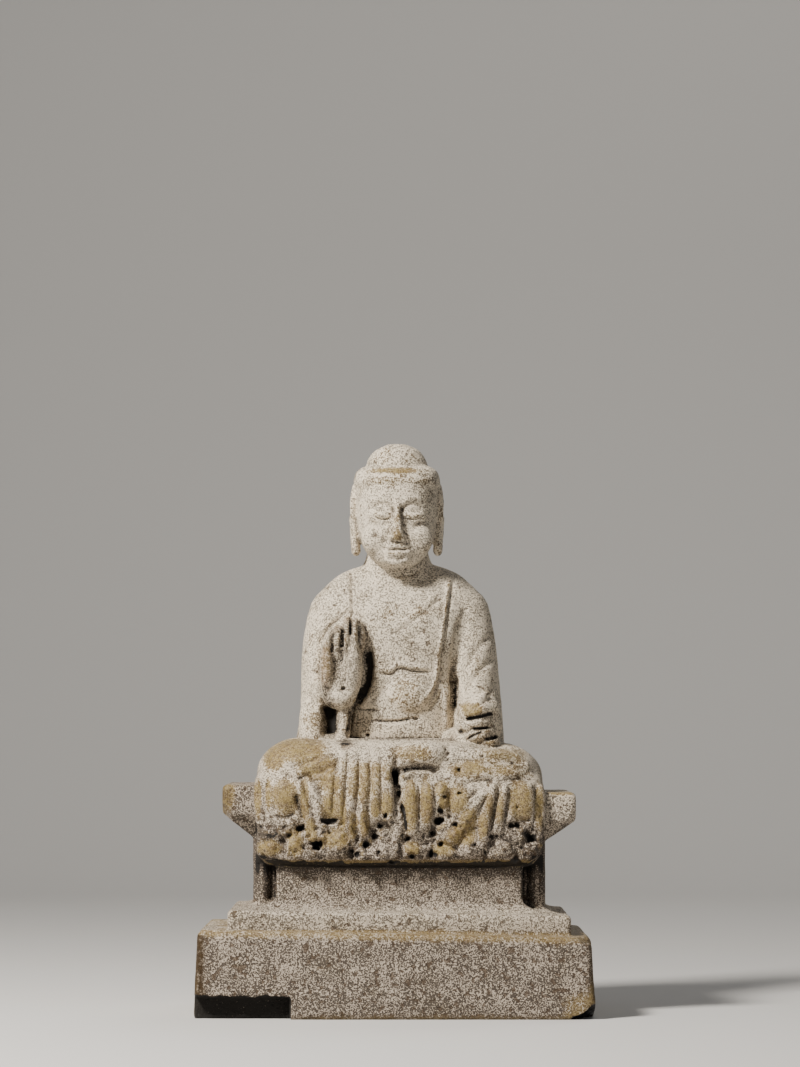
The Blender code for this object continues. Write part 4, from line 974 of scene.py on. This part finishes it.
class Finish:
    """A material, and the one way in which nodes are added to it."""

    def __init__(self, name):
        self.material = bpy.data.materials.new(name)
        self.material.use_nodes = True
        self.tree = self.material.node_tree
        self.surface = self.tree.nodes["Principled BSDF"]

    def plug(self, socket, value):
        """Link a socket to an Amount, or set it."""
        if isinstance(value, Amount):
            self.tree.links.new(value.socket, socket)
        else:
            socket.default_value = value

    def add(self, kind, settings, values, output=0):
        """Add a node: its settings first, then its sockets' values or links."""
        node = self.tree.nodes.new(kind)
        for key, value in settings.items():
            setattr(node, key, value)
        for key, value in values.items():
            self.plug(node.inputs[key], value)
        return Amount(self, node.outputs[output])

    def blend(self, share, first, second):
        """Colour between two colours."""
        node = {"data_type": "RGBA"}
        return self.add("ShaderNodeMix", node, {0: share, 6: first, 7: second}, 2)

    def cloud(self, place, size, detail=2.0, roughness=0.55):
        """Noise whose spots are about size millimetres across."""
        values = {"Vector": place, "Scale": 1 / size, "Detail": detail, "Roughness": roughness}
        return self.add("ShaderNodeTexNoise", {}, values)

    def layer(self, name):
        """A number kept on the piece's points."""
        return self.add("ShaderNodeAttribute", {"attribute_name": name}, {}, 2)


# The stone's finish: a whitish crust thick with fine dark specks, brown pits in it, honey-coloured stone
# where the crust is rubbed away, and black soil in the hollows; that black and a grime tint also paint
# shade
WHITE = (0.80, 0.70, 0.545, 1)
BUFF = (0.53, 0.43, 0.29, 1)
GREY = (0.475, 0.40, 0.32, 1)
SPECK = (0.045, 0.034, 0.026, 1)
HONEY = (0.255, 0.185, 0.062, 1)
PALE_AMBER = (0.165, 0.102, 0.03, 1)
DEEP_AMBER_AND_SHADE = (0.05, 0.029, 0.010, 1)
UMBER = (0.085, 0.055, 0.033, 1)
GRIME_AND_SHADE = (0.19, 0.15, 0.115, 1)
SOIL_AND_SHADE_BLACK = (0.009, 0.007, 0.005, 1)
STAINED = (0.34, 0.235, 0.14, 1)
MILLIMETRES = 1000.0
RELIEF = 0.0009

stone = Finish("weathered pale stone")
metres = stone.add("ShaderNodeTexCoord", {}, {}, "Object")
place = stone.add("ShaderNodeVectorMath", {"operation": "SCALE"}, {0: metres, "Scale": MILLIMETRES})
grain = stone.cloud(place, 0.9, 2, 0.5)
fine = stone.cloud(place, 0.6, 1, 0.5)
mottle = stone.cloud(place, 2.6, 3)
patch = stone.cloud(place, 14, 3)
blotch = stone.cloud(place, 3.4, 2, 0.45)
worn_here = stone.layer("worn")
soil_and_shade_here = stone.layer("soil_and_shade")
stain_here = stone.layer("stain")
amber_and_shade_here = stone.layer("amber_and_shade")
pale_here = stone.layer("pale")

honey_share = (worn_here + (mottle - 0.5) * 1.2 + (grain - 0.5) + (patch - 0.5) * 0.7).over(0.28, 0.7)
soil_and_shade_share = (soil_and_shade_here * 1.3 + (grain - 0.5) * 0.9 + (mottle - 0.5) * 0.8).over(0.42, 0.78)
density = (patch - 0.5) * 0.25 + (mottle - 0.5) * 0.3 + stain_here * 0.03 + soil_and_shade_here * 0.28
density = density + 0.028 - pale_here * 0.075
speck_share = (grain + (fine - 0.5) * 0.4 + density).over(0.465, 0.53)
pit_share = (blotch + (patch - 0.5) * 0.25 - pale_here * 0.09).over(0.585, 0.63)
white_share = (pale_here * 0.9 + (mottle - 0.5) * 1.2 + (patch - 0.5) * 0.8).over(0.1, 1.0)
crust = stone.blend(white_share, GREY, WHITE)
crust = stone.blend(patch.over(0.5, 0.8) * 0.45, crust, BUFF)
crust = stone.blend(stain_here * mottle.over(0.25, 0.6) * 0.85, crust, STAINED)
# grime tint where soil lies, and also where shade is painted
crust = stone.blend(soil_and_shade_here.over(0.02, 0.4) * 0.4, crust, GRIME_AND_SHADE)
crust = stone.blend(speck_share * (0.95 - pale_here * 0.2), crust, SPECK)
crust = stone.blend(pit_share * 0.75, crust, UMBER)
amber_share = (patch * 0.6 + mottle * 0.6).over(0.52, 0.82)
bare = stone.blend(amber_share, HONEY, PALE_AMBER)
bare = stone.blend((grain + (mottle - 0.5) * 0.6).over(0.52, 0.6) * 0.75, bare, UMBER)
bare = stone.blend((0.5 - grain + (mottle - 0.5) * 0.5).over(0.01, 0.08) * 0.3, bare, BUFF)
colour = stone.blend(honey_share * 0.95, crust, bare)
colour = stone.blend((amber_and_shade_here + (mottle - 0.5) * amber_and_shade_here * 2) * 0.9, colour, DEEP_AMBER_AND_SHADE)
# black for soil, and for the painted shade in the same layer
colour = stone.blend(soil_and_shade_share, colour, SOIL_AND_SHADE_BLACK)
height = mottle * 0.5 + grain * 0.6 - speck_share * 0.45 - pit_share * 0.8 - soil_and_shade_share * 0.2
relief = height * (1 - honey_share * 0.75)
bump = stone.add("ShaderNodeBump", {}, {"Strength": 1.0, "Distance": RELIEF, "Height": relief})
stone.plug(stone.surface.inputs["Base Color"], colour)
stone.plug(stone.surface.inputs["Roughness"], 0.92 - honey_share * 0.42 - soil_and_shade_share * 0.1)
stone.plug(stone.surface.inputs["Normal"], bump)
stone.surface.inputs["Specular IOR Level"].default_value = 0.35

statue.data.materials.clear()
statue.data.materials.append(stone.material)
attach(statue, "root")
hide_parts("seated_buddha")

[[list(corner) for corner in box] for box in (solid_box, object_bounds())]
